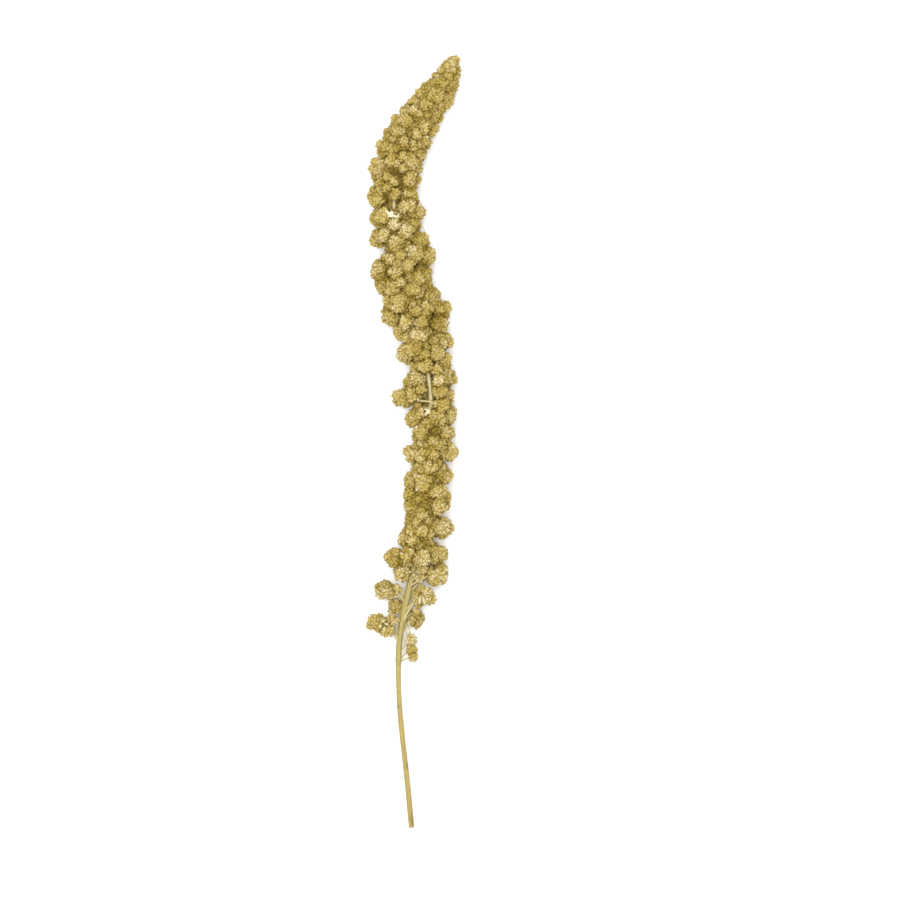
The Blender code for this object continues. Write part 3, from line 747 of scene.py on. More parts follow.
def shed_places(points, clusters, settings):
    """Each shed spot: its middle, on top of the clusters or the core there, radius, bracts, fresh."""
    places = []
    for x, y, radius, bracts, fresh_and_painted_light in SHED_SPOTS:
        spot = np.array([x, y]) * MM
        level = frame_at_y(points, y * MM)[0]
        heights = [level.z + core_radius(level.y, settings.core_share)]
        for cluster in clusters:
            rest = cluster.radius**2 - ((spot - cluster.place[:2]) ** 2).sum()
            if rest > 0:
                heights.append(cluster.place[2] + math.sqrt(rest))
        top = max(heights) + SHED_LIFT
        places.append((np.array([*spot, top]), radius * MM, bracts, fresh_and_painted_light))
    return places


def neighbour_gaps(here, number, clusters):
    """How far each point, of the numbered cluster or of none, lies outside the other clusters."""
    places = np.array([c.place for c in clusters])
    radii = np.array([c.radius for c in clusters])
    gaps = np.linalg.norm(here[:, None] - places[None], axis=2) - radii
    if number is not None:
        gaps[:, number] = 1.0
    return gaps


def patch_at(points, here):
    """How much paler or, below zero, darker with painted shade the tone patches make each point."""
    line = np.array(points)
    height = here[:, 2] - np.interp(here[:, 1], line[:, 1], line[:, 2])
    total = np.zeros(len(here))
    for x, y, radius, amount in TONE_PATCHES:
        gap = np.linalg.norm(here[:, :2] / MM - (x, y), axis=1)
        total += amount * bell(gap, 0, radius)
    fade = np.clip(0.5 + height / PATCH_FADE, 0, 1)
    return total * np.where(here[:, 1] < FILL_FROM_Y, 1, fade)


def painted_shade_at(cluster, here, gaps, patch):
    """The painted shade at each point of a cluster, from 0 in the open to 1 and more in a valley."""
    outward = here - cluster.place
    inside = cluster.radius - np.linalg.norm(outward, axis=1)
    flank = (1 - np.clip(unit(outward)[:, 2], 0, 1)) ** FLANK_POWER
    valley = np.clip(1 - gaps.min(1) / (VALLEY_WIDTH * cluster.radius), 0, 1)
    valley *= np.interp(here[:, 1], VALLEY_FADE, (1.0, VALLEY_LEFT))
    depth = INNER_SHADE * np.clip(inside / LOBE_DEPTH, 0, 1)
    depth += VALLEY_SHADE * valley + FLANK_SHADE * flank
    return np.clip(depth - PATCH_SHADE * np.minimum(patch, 0), 0, DEEPEST)


def grain_sizes(settings):
    """Length, width and thickness of an ordinary grain."""
    return np.array([settings.length, settings.width, settings.thickness])


def place_grains(points, clusters, settings, chance):
    """One row for each grain: its spot, its axis, length, width and thickness, tone and painted
    shade.
    """
    shed = shed_places(points, clusters, settings)
    rows = []
    for number, cluster in enumerate(clusters):
        opened = number in OPEN_CLUSTERS
        spots, ways, tones = lobe_grains(cluster, settings.pitch, chance)
        if opened:
            ways = fanned(spots, OPEN_CLUSTERS[number], cluster.radius)
        here = cluster.place + spots
        gaps = neighbour_gaps(here, number, clusters)
        patch = patch_at(points, here)
        depth = painted_shade_at(cluster, here, gaps, patch)
        lobe, own, base = TONE_SHARES
        tones = lobe * tones + own * (OPEN_TONE if opened else cluster.tone) + base
        tones += np.maximum(patch, 0)
        seen = (gaps > -settings.hidden_depth).all(1)
        core = core_radius(here[:, 1], settings.core_share)
        seen &= from_line(points, here) > (1 - CORE_LUMP) * core
        for middle, radius, _, _ in shed:
            seen &= np.linalg.norm(here - middle, axis=1) > SHED_SHARE * radius
        axes = ways
        if not opened:
            axes = ways + LEAN_OUT * unit(spots) + LEAN_UP * lean_at(points, here)
        scatter = LEAN_SCATTER * (OPEN_SCATTER if opened else 1)
        axes = unit(axes + chance.normal(0, scatter, axes.shape))
        size = chance.normal(1, SIZE_SPREAD, len(spots)).clip(*SIZE_LIMITS)
        sizes = grain_sizes(settings) * (OPEN_STRETCH if opened else 1)
        rows.append(np.column_stack([
            here, axes, size[:, None] * sizes * chance.normal(1, SHAPE_SPREAD, (len(spots), 3)),
            np.clip(tones, 0, PALEST), depth,
        ])[seen])
    rows.append(core_grains(points, clusters, settings, chance))
    glumes = np.array(GLUMES)
    rows.append(np.column_stack([
        glumes[:, :3] * MM, unit(glumes[:, 3:6]), glumes[:, 6:] * MM, np.ones(len(glumes)),
        np.zeros(len(glumes)),
    ]))
    return np.concatenate(rows)


def core_grains(points, clusters, settings, chance):
    """Rows for the grains on the core, which are seen down between the clusters, all in full painted
    shade.
    """
    line = np.array([p for p in points if p.y > CORE_FROM_Y])
    walked = np.cumsum(np.linalg.norm(np.diff(line, axis=0, prepend=line[:1]), axis=1))
    radii = core_radius(line[:, 1], settings.core_share)
    count = places_for(2 * math.pi * (radii * np.gradient(walked)).sum(), settings.pitch)
    along = (np.arange(count) + 0.5) / count * walked[-1]
    middle = read_at(along, walked, line)
    forward = read_at(along, walked, unit(np.gradient(line, axis=0)))
    right = unit(np.cross(forward, (0.0, 0.0, 1.0)))
    turn = (GOLDEN_ANGLE * np.arange(count) + chance.normal(0, CORE_TURN, count))[:, None]
    way = right * np.cos(turn) + np.cross(right, forward) * np.sin(turn)
    reach = np.interp(along, walked, radii) * core_lumps(turn[:, 0], middle[:, 1])
    here = middle + way * reach[:, None] * CORE_FLATNESS
    here[:, 1] += chance.normal(0, CORE_SHIFT, count) * settings.pitch
    gaps = neighbour_gaps(here, None, clusters)
    seen = (gaps > -settings.hidden_depth).all(1)
    scatter = chance.normal(0, CORE_LEAN * LEAN_SCATTER, way.shape)
    axes = unit(way + LEAN_UP * forward + scatter)
    sizes = grain_sizes(settings) * chance.normal(1, CORE_SPREAD, (count, 3))
    return np.column_stack([here, axes, sizes, np.full(count, OPEN_TONE), np.ones(count)])[seen]


def ring(height, share, angle):
    """Points at the angles of a ring round +Z."""
    return np.stack([share * np.cos(angle), share * np.sin(angle), height + 0 * angle], axis=1)


def grain_template():
    """One grain along +Z from 0 to 1: its points, the corners of its faces, corners per face."""
    around = np.arange(GRAIN_SIDES)
    points = [
        ring(height, share, 2 * np.pi * (around + 0.5 * (number % 2)) / GRAIN_SIDES)
        for number, (height, share) in enumerate(GRAIN_OUTLINE)
    ]
    tip = len(GRAIN_OUTLINE) * GRAIN_SIDES
    rings, counts = ring_faces(len(GRAIN_OUTLINE), GRAIN_SIDES)
    corners = [*range(GRAIN_SIDES - 1, -1, -1), *rings]
    for k in range(GRAIN_SIDES):
        corners += [tip - GRAIN_SIDES + k, tip - GRAIN_SIDES + (k + 1) % GRAIN_SIDES, tip]
    counts = [GRAIN_SIDES, *counts, *[3] * GRAIN_SIDES]
    return np.concatenate([*points, [[0, 0, 1]]]), np.array(corners), np.array(counts)


def grain_bundle(rows, settings, chance):
    """All the grains of one piece, each lifted clear of the surface that the head lies on."""
    template, corners, counts = grain_template()
    spots, axes, sizes = rows[:, SPOT], rows[:, AXIS], rows[:, SIZES]
    wide, thick = side_vectors(axes, chance.uniform(0, 2 * np.pi, len(rows)))
    feet = spots - axes * (sizes[:, :1] * settings.bury)
    points = (
        feet[:, None]
        + axes[:, None] * (sizes[:, :1, None] * template[None, :, 2:])
        + wide[:, None] * (sizes[:, 1:2, None] / 2 * template[None, :, 0:1])
        + thick[:, None] * (sizes[:, 2:3, None] / 2 * template[None, :, 1:2])
    )
    sunk = np.minimum(points[:, :, 2].min(1), 0)
    points[:, :, 2] -= sunk[:, None]
    colours = np.empty((len(rows), len(template), 4))
    colours[:, :, 0] = chance.uniform(size=len(rows))[:, None]
    colours[:, :, 1] = template[None, :, 2]
    # The painted shade that the finish reads
    colours[:, :, 2] = rows[:, DEPTH, None]
    colours[:, :, 3] = rows[:, TONE, None]
    size = len(template)
    all_corners = corners[None] + size * np.arange(len(rows))[:, None]
    bundle = Bundle()
    bundle.add(
        points.reshape(-1, 3), all_corners.ravel(), np.tile(counts, len(rows)),
        colours.reshape(-1, 4),
    )
    return bundle


def husk_template():
    """One gaping husk along +Z: points, corners, corners per face, and which points lie inside."""
    angle = 2 * np.pi * np.arange(HUSK_SIDES) / HUSK_SIDES
    lips = 1 + HUSK_LIPS * (np.cos(2 * angle) - 1) / 2
    rows = [ring(height * lips, share, angle) for height, share in HUSK_OUTLINE]
    corners, counts = ring_faces(len(HUSK_OUTLINE), HUSK_SIDES)
    last = (len(HUSK_OUTLINE) - 1) * HUSK_SIDES
    corners += [*range(HUSK_SIDES - 1, -1, -1), *range(last, last + HUSK_SIDES)]
    counts += [HUSK_SIDES, HUSK_SIDES]
    inside = np.repeat(np.arange(len(HUSK_OUTLINE)) >= HUSK_INSIDE, HUSK_SIDES)
    return np.concatenate(rows), np.array(corners), np.array(counts), inside


def husk_bundle(rows, settings, chance):
    """Gaping empty husks, placed by chance and thickest at the foot."""
    template, corners, counts, inside = husk_template()
    foot = np.interp(rows[:, 1], FOOT_HUSK_FADE, (FOOT_HUSK_ODDS, 1.0))
    shown = foot * (rows[:, AXIS][:, 2] > HUSK_FACING) * (rows[:, DEPTH] < HUSK_DEEPEST)
    picked = chance.choice(len(rows), settings.husks, replace=False, p=shown / shown.sum())
    places = [(row[SPOT], row[AXIS], settings.husk_length * chance.uniform(0.8, 1.2),
               settings.husk_width * chance.uniform(0.8, 1.15)) for row in rows[np.sort(picked)]]
    bundle = Bundle()
    for spot, axis, length, width in places:
        wide, thick = side_vectors(axis[None], chance.uniform(0, 2 * np.pi, 1))
        points = (
            spot + axis * length * (template[:, 2:] - HUSK_SEAT)
            + wide * (width / 2 * template[:, :1]) + thick * (HUSK_HALF * width * template[:, 1:2])
        )
        points[:, 2] -= min(points[:, 2].min(), 0)
        colours = np.empty((len(template), 4))
        colours[:, 0] = HUSK_CHANCE
        # Inside, each husk is darkened with painted shade, through the place along it and its depth
        colours[:, 1] = np.where(inside, 0.1, 0.3 + 0.7 * template[:, 2])
        colours[:, 2] = inside * 0.8
        colours[:, 3] = chance.uniform(0.75, 1.0)
        bundle.add(points, corners, counts, colours)
    return bundle


# Rachis, branches, bristles and chaff

def rachis_line(points):
    """The growth line from the joint to the tip, raised where it comes up between the clusters."""
    start = frame_at_y(points, JOINT_Y - JOINT_LAP)[0]
    line = np.array([start, *[p for p in points if p.y > start.y + 1 * MM]])
    y = np.arange(line[0, 1], line[-1, 1], RACHIS_STEP)
    path = read_at(y, line[:, 1], line)
    for middle, rise, half in RACHIS_RISES:
        path[:, 2] += rise * MM * bell(y / MM, middle, half)
    return path


def rachis_bundle(line, clusters, chance):
    """The ribbed rachis, a little swollen where each branch leaves it."""
    roots = np.array([c.root[1] for c in clusters])
    radii = profile_at(line[:, 1], RACHIS)
    radii += SWELL_HEIGHT * bell(line[:, 1:2], roots[None], SWELL_HALF).max(1)
    radii *= 1 + chance.normal(0, UNEVEN, len(radii))
    bundle = Bundle()
    points, corners, counts = sweep(line, radii, RACHIS_SIDES, RACHIS_RIBS, RACHIS_RIB_HEIGHT)
    colours = np.tile((0.3, 0.6, 0.0, 0.0), (len(points), 1))
    # The green added on the left side is painted shade along that edge
    left = -unit(points - np.repeat(line, RACHIS_SIDES, axis=0))[:, 0]
    colours[:, 1] += 0.55 * left.clip(0, 1) ** 2
    # Paler where the rachis rises between the clusters: fresh straw, and partly painted light on a
    # strand that lies down in shade
    for middle, _, half in RACHIS_RISES:
        colours[:, 3] += 0.3 * bell(points[:, 1] / MM, middle, half)
    bundle.add(points, corners, counts, colours.clip(0, 1))
    return bundle


def branch_bundle(line, clusters, settings, chance):
    """The branches from the rachis to each cluster, and the stalklets to the foot's lobes."""
    bundle = Bundle()
    for number, cluster in enumerate(clusters):
        at_foot = number < len(FOOT_CLUSTERS)
        length = np.linalg.norm(cluster.place - cluster.root)
        low = max(cluster.root[1] - BRANCH_RUN * length, line[0, 1] + 1 * MM)
        root, knee = read_at((low, cluster.root[1]), line[:, 1], line)
        away = cluster.place - knee
        away[1] = 0
        knee += unit(away) * (profile_at(knee[1], RACHIS) + settings.branch_radius * 0.6)
        path = arc(root, knee, cluster.place, BRANCH_STEPS)
        thick = (cluster.radius / THIN_BRANCH) ** BRANCH_GROWTH if at_foot else 1.0
        radii = settings.branch_radius * thick * np.linspace(1.15, 0.7, BRANCH_STEPS)
        inner = cluster.root[1] > CORE_FROM_Y + CORE_SHOULDER
        colour = (0.4 * chance.uniform(), 0.5 * chance.uniform(), 0.9 * inner, 0.2 * (not inner))
        bundle.add(*sweep(path, radii, BRANCH_SIDES), colour)
        for lobe in cluster.lobes if at_foot else ():
            knee, end = cluster.place + 0.2 * lobe, cluster.place + lobe
            twig = arc(path[-2], knee, end, PEDICEL_STEPS)
            twig[:, 2] = np.maximum(twig[:, 2], 2 * PEDICEL_RADIUS)
            radii = PEDICEL_RADIUS * np.linspace(1.0, 0.7, PEDICEL_STEPS)
            bundle.add(*sweep(twig, radii, PEDICEL_SIDES), colour)
    return bundle


def twig_bundle(points, clusters, settings, chance):
    """The bare twigs, and the stalklets that are left where grains have dropped."""
    bundle = Bundle()
    for start, knee, end, radius in TWIGS:
        radii = radius * MM * np.linspace(1.15, 0.8, 2 * BRANCH_STEPS)
        bends = np.array([start, knee, end]) * MM
        bundle.add_stick(*bends, radii, 2 * PEDICEL_SIDES, (0.2, 0.2, 0.0, 0.3))
    for middle, radius, bracts, fresh_and_painted_light in shed_places(points, clusters, settings):
        for _ in range(round(STALKLETS * (radius / MM) ** 2)):
            way = unit(chance.normal(0, (1.0, 1.0, 0.2), 3))
            start = middle + (*(chance.normal(0, 0.2, 2) * radius), -STALKLET_DROP)
            end = middle + way * radius * chance.uniform(0.5, 1.3)
            knee = middle + (end - middle) * 0.4
            radii = STALKLET_RADIUS * np.linspace(1.0, 0.75, PEDICEL_STEPS)
            bundle.add_stick(start, knee, end, radii, PEDICEL_SIDES, (0.0, 0.0, 0.0, 0.6 * fresh_and_painted_light))
        first = chance.uniform(0, 2 * math.pi)
        for number in range(bracts):
            turn = first + 2 * math.pi * (number + chance.uniform(-0.3, 0.3)) / bracts
            way = unit(np.array([math.cos(turn), math.sin(turn), chance.uniform(0.2, 0.9)]))
            start = middle + (0, 0, BRACT_LIFT)
            end = start + way * radius * chance.uniform(0.45, 1.2)
            knee, radii = (start + end) / 2, radius * np.array(BRACT_SHAPE)
            bundle.add_stick(start, knee, end, radii, 2 * PEDICEL_SIDES, (0.0, 0.0, 0.0, fresh_and_painted_light))
    return bundle


def bristle_bundle(rows, settings, chance):
    """Short stiff bristles from between the grains."""
    bundle = Bundle()
    picked = chance.choice(len(rows), min(settings.bristles, len(rows)), replace=False)
    for row in rows[np.sort(picked)]:
        spot, axis = row[SPOT], row[AXIS]
        way = unit(axis + chance.normal(0, BRISTLE_LEAN, 3))
        start = spot - axis * BRISTLE_DEPTH
        length = settings.bristle_length * chance.uniform(0.6, 1.15)
        bend = chance.normal(0, BRISTLE_BEND, 3) * length
        path = arc(start, start + way * 0.5 * length, start + way * length + bend, 3)
        if path[:, 2].min() < BRISTLE_CLEAR:
            continue
        radii = settings.bristle_radius * np.array(BRISTLE_TAPER)
        bundle.add(*sweep(path, radii, 3), (0.3 * chance.uniform(), 0.0, 0.0, 0.3))
    return bundle


def ball_template(fineness):
    """A ball of radius 1: its points, the corners of its faces, and corners per face."""
    ball = bmesh.new()
    bmesh.ops.create_icosphere(ball, subdivisions=fineness, radius=1.0)
    ways = unit(np.array([v.co[:] for v in ball.verts]))
    corners = [v.index for f in ball.faces for v in f.verts]
    counts = [3] * len(ball.faces)
    ball.free()
    return ways, corners, counts


def chaff_bundle(points, clusters, settings):
    """The chaff under the grains, coloured with painted shade: a core round the rachis and a lobed
    ball for each cluster.
    """
    fine, coarse = ball_template(3), ball_template(2)
    bundle = Bundle()
    line = np.array([p for p in points if p.y > CORE_FROM_Y])
    y = np.arange(line[0, 1], line[-1, 1], CORE_STEP)
    path = read_at(y, line[:, 1], line)
    radii = core_radius(y, settings.core_share)
    core, core_corners, core_counts = sweep(path, radii, CORE_SIDES)
    middles = np.repeat(path, CORE_SIDES, axis=0)
    turns = np.arctan2(core[:, 2] - middles[:, 2], core[:, 0] - middles[:, 0])
    lumps = CORE_CHAFF * core_lumps(turns, middles[:, 1])[:, None]
    core = middles + (core - middles) * lumps * CORE_FLATNESS
    # The core is all in deep painted shade
    bundle.add(core, core_corners, core_counts, (0.5, 0.5, 1.0, 0.5))
    for number, cluster in enumerate(clusters):
        ways, corners, counts = fine if cluster.radius > FINE_FROM else coarse
        reach = cluster.reach(ways, settings.chaff_depth)
        ball = cluster.place + ways * reach[:, None]
        ball[:, 2] = np.maximum(ball[:, 2], 0.05 * MM)
        gaps = neighbour_gaps(ball, number, clusters)
        colours = np.tile((cluster.tone, 0.5, 0.0, cluster.tone), (len(ball), 1))
        colours[:, 2] = painted_shade_at(cluster, ball, gaps, patch_at(points, ball))
        bundle.add(ball, corners, counts, colours)
    return bundle


def stalk_bundle(points, settings, chance):
    """The bare stalk from its cut end to the joint, finely ribbed, with the pith sunk at the cut."""
    end = frame_at_y(points, JOINT_Y)[0]
    line = np.array([*[p for p in points if p.y < end.y], end])
    y = np.linspace(line[0, 1], line[-1, 1], STALK_STATIONS)
    path = read_at(y, line[:, 1], line)
    radii = np.interp(y, [y[0], y[-1]], [settings.cut_radius, settings.head_radius])
    marks = np.linspace(y[0], y[-1], STALK_SWELLS)
    radii *= 1 + np.interp(y, marks, chance.normal(0, UNEVEN, STALK_SWELLS))
    ahead = unit(np.gradient(path, axis=0))
    sunk = path[0] + ahead[0] * PITH_DEPTH
    path = np.concatenate([[sunk, sunk, path[0]], path])
    radii = np.concatenate([radii[0] * np.array(PITH_RINGS), radii])
    ahead = np.concatenate([ahead[:1].repeat(3, axis=0), ahead])
    shape = sweep(path, radii, STALK_SIDES, STALK_RIBS, STALK_RIB_HEIGHT, ahead)
    bundle = Bundle()
    bundle.add(*shape, stalk_patches(shape[0], np.repeat(path, STALK_SIDES, axis=0)))
    return bundle


def stalk_patches(points, middles):
    """How tan, how green and how brown the stalk is at each point."""
    side = unit(points - middles)[:, 0]
    y = points[:, 1] / MM
    colours = np.zeros((len(points), 4))
    for column, middle, half, turned in STALK_PATCHES:
        patch = bell(y, middle, half) * np.clip(0.5 + 0.8 * turned * side, 0, 1)
        colours[:, column] = np.maximum(colours[:, column], patch)
    pith = np.arange(len(points)) < 2 * STALK_SIDES
    colours[pith, 2] = 1.0
    return colours


# Finishes

class Finish:
    """A material whose nodes are added one by one."""

    def __init__(self, name, specular=0.5):
        self.material = bpy.data.materials.new(name)
        self.material.use_nodes = True
        self.tree = self.material.node_tree
        self.shader = self.tree.nodes["Principled BSDF"]
        self.shader.inputs["Specular IOR Level"].default_value = specular

    def node(self, kind, inputs=(), **settings):
        """Adds a node. Each input is a value or the output that feeds it."""
        node = self.tree.nodes.new(kind)
        for key, value in settings.items():
            setattr(node, key, value)
        for key, value in dict(inputs).items():
            self.feed(node.inputs[key], value)
        return node

    def feed(self, socket, value):
        if isinstance(value, bpy.types.NodeSocket):
            self.tree.links.new(value, socket)
        else:
            socket.default_value = value

    def set(self, **inputs):
        """Sets or feeds the shader's sockets, named with underscores."""
        for key, value in inputs.items():
            self.feed(self.shader.inputs[key.replace("_", " ").title()], value)

    def ramp(self, factor, *stops):
        """A colour ramp: each stop is a place from 0 to 1 and a colour or a grey."""
        node = self.node("ShaderNodeValToRGB", {"Fac": factor})
        elements = node.color_ramp.elements
        while len(elements) < len(stops):
            elements.new(0.5)
        for element, (place, colour) in zip(elements, stops):
            element.position = place
            element.color = colour if hasattr(colour, "__len__") else (colour,) * 3 + (1.0,)
        return node.outputs["Color"]

    def sums(self, operation, a, b=0.5, c=0.5):
        node = self.node("ShaderNodeMath", {0: a, 1: b, 2: c}, operation=operation)
        return node.outputs[0]

    def mix(self, factor, a, b, blend="MIX"):
        node = self.node("ShaderNodeMix", data_type="RGBA", blend_type=blend)
        self.feed(node.inputs["Factor"], factor)
        self.feed(node.inputs[6], a)
        self.feed(node.inputs[7], b)
        return node.outputs[2]

    def noise(self, vector, scale, detail=3.0, roughness=0.55):
        node = self.node(
            "ShaderNodeTexNoise",
            {"Vector": vector, "Scale": scale, "Detail": detail, "Roughness": roughness},
        )
        return node.outputs["Fac"]

    def places(self, stretch=(1.0, 1.0, 1.0)):
        """Where a point is on the object, in metres, stretched along its axes."""
        there = self.node("ShaderNodeTexCoord").outputs["Object"]
        mapping = self.node("ShaderNodeMapping", {"Vector": there, "Scale": stretch})
        return mapping.outputs["Vector"]

    def bump(self, height, distance, strength=1.0):
        inputs = {"Height": height, "Distance": distance, "Strength": strength}
        return self.node("ShaderNodeBump", inputs).outputs["Normal"]

    def held(self):
        """The red, green, blue and alpha of the mesh's vertex colour."""
        colour = self.node("ShaderNodeAttribute", attribute_name=VERTEX_COLOUR).outputs
        parts = self.node("ShaderNodeSeparateColor", {"Color": colour["Color"]})
        return (*parts.outputs, colour["Alpha"])


def grain_finish(colours):
    """Dry husk: gold to olive from grain to grain, paler at the tip, and darkened with painted shade
    at each grain's foot, down between grains and where the vertex colour holds it.
    """
    finish = Finish("grain_husk", specular=0.14)
    chance, along, depth, cluster = finish.held()
    drift = finish.noise(finish.places(), 45.0, 2.0)
    fleck = finish.noise(finish.places(), 2600.0, 3.0, 0.6)
    mixed = finish.sums("MULTIPLY_ADD", chance, 0.28, finish.sums("MULTIPLY", cluster, 0.66))
    mixed = finish.sums("MULTIPLY_ADD", drift, 0.42, mixed)
    mixed = finish.sums("MULTIPLY_ADD", fleck, 0.06, finish.sums("SUBTRACT", mixed, 0.19))
    husk = finish.ramp(
        mixed,
        (0.05, colours.olive), (0.35, colours.gold), (0.68, colours.pale), (0.95, colours.cream),
    )
    rare = finish.sums("FRACT", finish.sums("MULTIPLY", chance, 7.31))
    husk = finish.mix(finish.ramp(rare, (0.84, 0.0), (0.95, 0.55)), husk, colours.tan)
    green = finish.noise(finish.places(), 110.0, 2.0)
    husk = finish.mix(finish.ramp(green, (0.50, 0.0), (0.72, 0.45)), husk, colours.olive)
    # Painted shade at each grain's foot, down between the grains
    root_shade = finish.ramp(along, (0.1, (0.79, 0.75, 0.57, 1.0)), (0.45, 0.93), (0.82, 1.0))
    husk = finish.mix(1.0, husk, root_shade, "MULTIPLY")
    # Painted shade from the vertex colour: towards the shade colour, and past 1 towards the deep
    # colour
    husk = finish.mix(finish.ramp(depth, (0.15, 0.0), (1.0, 0.85)), husk, colours.shade)
    below = finish.sums("SUBTRACT", depth, 0.9)
    husk = finish.mix(finish.ramp(below, (0.0, 0.0), (DEEPEST - 1, 0.8)), husk, colours.deep)
    finish.set(
        base_color=husk,
        roughness=finish.ramp(fleck, (0.3, 0.40), (0.7, 0.62)),
        normal=finish.bump(fleck, 0.10 * MM, 0.6),
    )
    return finish.material


def chaff_finish(colours):
    """Broken husk between the grains, coloured as painted shade, darker still down in the valleys."""
    finish = Finish("chaff_in_painted_shade", specular=0.1)
    _, _, depth, _ = finish.held()
    crumbs = finish.noise(finish.places(), 1500.0, 4.0, 0.65)
    near = finish.ramp(crumbs, (0.3, colours.shade), (0.7, colours.gold))
    down = finish.ramp(crumbs, (0.3, colours.deep), (0.7, colours.shade))
    # Painted shade: deeper places take the darker colours
    finish.set(
        base_color=finish.mix(finish.ramp(depth, (0.2, 0.0), (0.8, 1.0)), near, down),
        roughness=0.85,
        normal=finish.bump(crumbs, 0.4 * MM),
    )
    return finish.material


def straw_finish(name, colours):
    """Dry straw: fine streaks along it, the tan, green and brown patches that it is given, of which
    the green on the rachis's left side is painted shade, and the pale of fresh straw, which on the
    rachis where it rises is partly painted light.
    """
    finish = Finish(name, specular=0.25)
    *patches, fresh_and_painted_light = finish.held()
    streaks = finish.noise(finish.places((1.0, 0.03, 1.0)), 5200.0, 3.0, 0.6)
    bands = finish.noise(finish.places((1.0, 0.35, 1.0)), 160.0, 3.0, 0.5)
    specks = finish.noise(finish.places(), 1400.0, 3.0, 0.6)
    straw = finish.ramp(streaks, (0.34, colours.straw_dark), (0.60, colours.straw))
    straw = finish.mix(finish.ramp(bands, (0.48, 0.0), (0.72, 0.4)), straw, colours.straw_green)
    straw = finish.mix(finish.ramp(specks, (0.60, 0.0), (0.78, 0.45)), straw, colours.straw_tan)
    rough = finish.sums("MULTIPLY_ADD", streaks, 1.2, 0.2)
    for part, strength, colour in zip(
        patches, (0.75, 0.7, 0.85), (colours.straw_tan, colours.straw_green, colours.deep)
    ):
        share = finish.sums("MULTIPLY", finish.sums("MULTIPLY", part, rough), strength)
        straw = finish.mix(share, straw, colour)
    # The pale of fresh straw, partly painted light where the rachis rises
    fresh_and_painted_light = finish.sums("MULTIPLY", fresh_and_painted_light, rough)
    straw = finish.mix(finish.sums("MINIMUM", fresh_and_painted_light, 1.0), straw, colours.fresh_and_painted_light)
    finish.set(
        base_color=straw,
        roughness=finish.ramp(streaks, (0.3, 0.55), (0.7, 0.42)),
        normal=finish.bump(streaks, 0.12 * MM, 0.7),
    )
    return finish.material


def floor_finish(colour):
    """Plain matt paper, with no pattern to draw the eye."""
    finish = Finish("pale_floor")
    mottle = finish.noise(finish.places(), 40.0, 2.0)
    dark = tuple(0.985 * c for c in colour[:3]) + (1.0,)
    finish.set(base_color=finish.ramp(mottle, (0.2, dark), (0.8, tuple(colour))), roughness=0.9)
    return finish.material


# Sizes and colours that a user would change

def size_property(name, description, default):
    """A length in metres, shown in the scene's unit."""
    return bpy.props.FloatProperty(
        name=name, description=description, default=default, min=0.0, precision=5,
        subtype="DISTANCE", unit="LENGTH",
    )


def share_property(name, description, default):
    """A share from 0 to 1."""
    return bpy.props.FloatProperty(
        name=name, description=description, default=default, min=0.0, max=1.0, subtype="FACTOR",
    )


def count_property(name, description, default):
    """How many there are."""
    return bpy.props.IntProperty(name=name, description=description, default=default, min=0)


def colour_property(name, description, default):
    """A linear colour with its alpha."""
    return bpy.props.FloatVectorProperty(
        name=name, description=description, default=default, size=4, min=0.0, max=1.0,
        subtype="COLOR",
    )


class MilletGrains(bpy.types.PropertyGroup):
    length: size_property("Length", "Length of a husked grain", 2.1 * MM)
    width: size_property("Width", "Width of a husked grain", 1.64 * MM)
    thickness: size_property("Thickness", "Thickness of a husked grain", 1.46 * MM)
    pitch: size_property("Pitch", "Distance between the middles of two grains", 1.54 * MM)
    lobe_radius: size_property("Lobe", "Radius of a lobe on a large cluster", 2.3 * MM)
    hidden_depth: size_property("Hidden", "How deep in a neighbour a grain is left out", 0.9 * MM)
    core_share: share_property("Core", "Share of the radius that holds chaff and no grains", 0.55)
    chaff_depth: size_property("Chaff", "How far below the lobes the chaff lies", 0.3 * MM)
    bury: share_property("Bury", "Share of a grain's length below the lobe's surface", 0.66)
    bristles: count_property("Bristles", "Number of bristles over the whole head", 1500)
    bristle_length: size_property("Bristle", "Length of a bristle", 2.6 * MM)
    bristle_radius: size_property("Bristle Radius", "Radius of a bristle at its foot", 0.07 * MM)
    branch_radius: size_property("Branch", "Radius of the branch under a cluster", 0.34 * MM)
    husks: count_property("Gaping Husks", "Number of empty husks that gape", 260)
    husk_length: size_property("Husk Length", "Length of a gaping husk", 1.9 * MM)
    husk_width: size_property("Husk Width", "Width of a gaping husk", 1.6 * MM)


class MilletColours(bpy.types.PropertyGroup):
    cream: colour_property("Cream", "The palest husks", tone(201, 187, 147))
    pale: colour_property("Pale Gold", "Pale husks", tone(185, 167, 110))
    gold: colour_property("Gold", "Ordinary husks", tone(173, 152, 83))
    olive: colour_property("Olive", "Greenish husks", tone(146, 129, 50))
    tan: colour_property("Tan", "Brownish husks here and there", tone(176, 148, 84))
    # Shade and Deep are the colours of painted shade; Deep is also the brown of the straw's patches
    shade: colour_property("Shade", "Husks and chaff down between the lobes", tone(140, 119, 45))
    deep: colour_property("Deep", "The darkest chaff", tone(98, 79, 26))
    # Fresh straw is also partly painted light where the rachis rises
    fresh_and_painted_light: colour_property("Fresh Straw", "Pale straw where it was covered", tone(240, 230, 198))
    straw: colour_property("Straw", "Pale straw of the stalk", tone(172, 156, 98))
    straw_dark: colour_property("Straw Streak", "Darker streaks in the straw", tone(140, 123, 64))
    straw_green: colour_property("Straw Green", "Faint green in the straw", tone(152, 143, 72))
    straw_tan: colour_property("Straw Tan", "Tan specks in the straw", tone(146, 118, 72))


class MilletStalk(bpy.types.PropertyGroup):
    cut_radius: size_property("Cut End", "Radius of the stalk at its cut end", 1.2 * MM)
    head_radius: size_property("Head End", "Radius of the stalk below the head", 1.1 * MM)


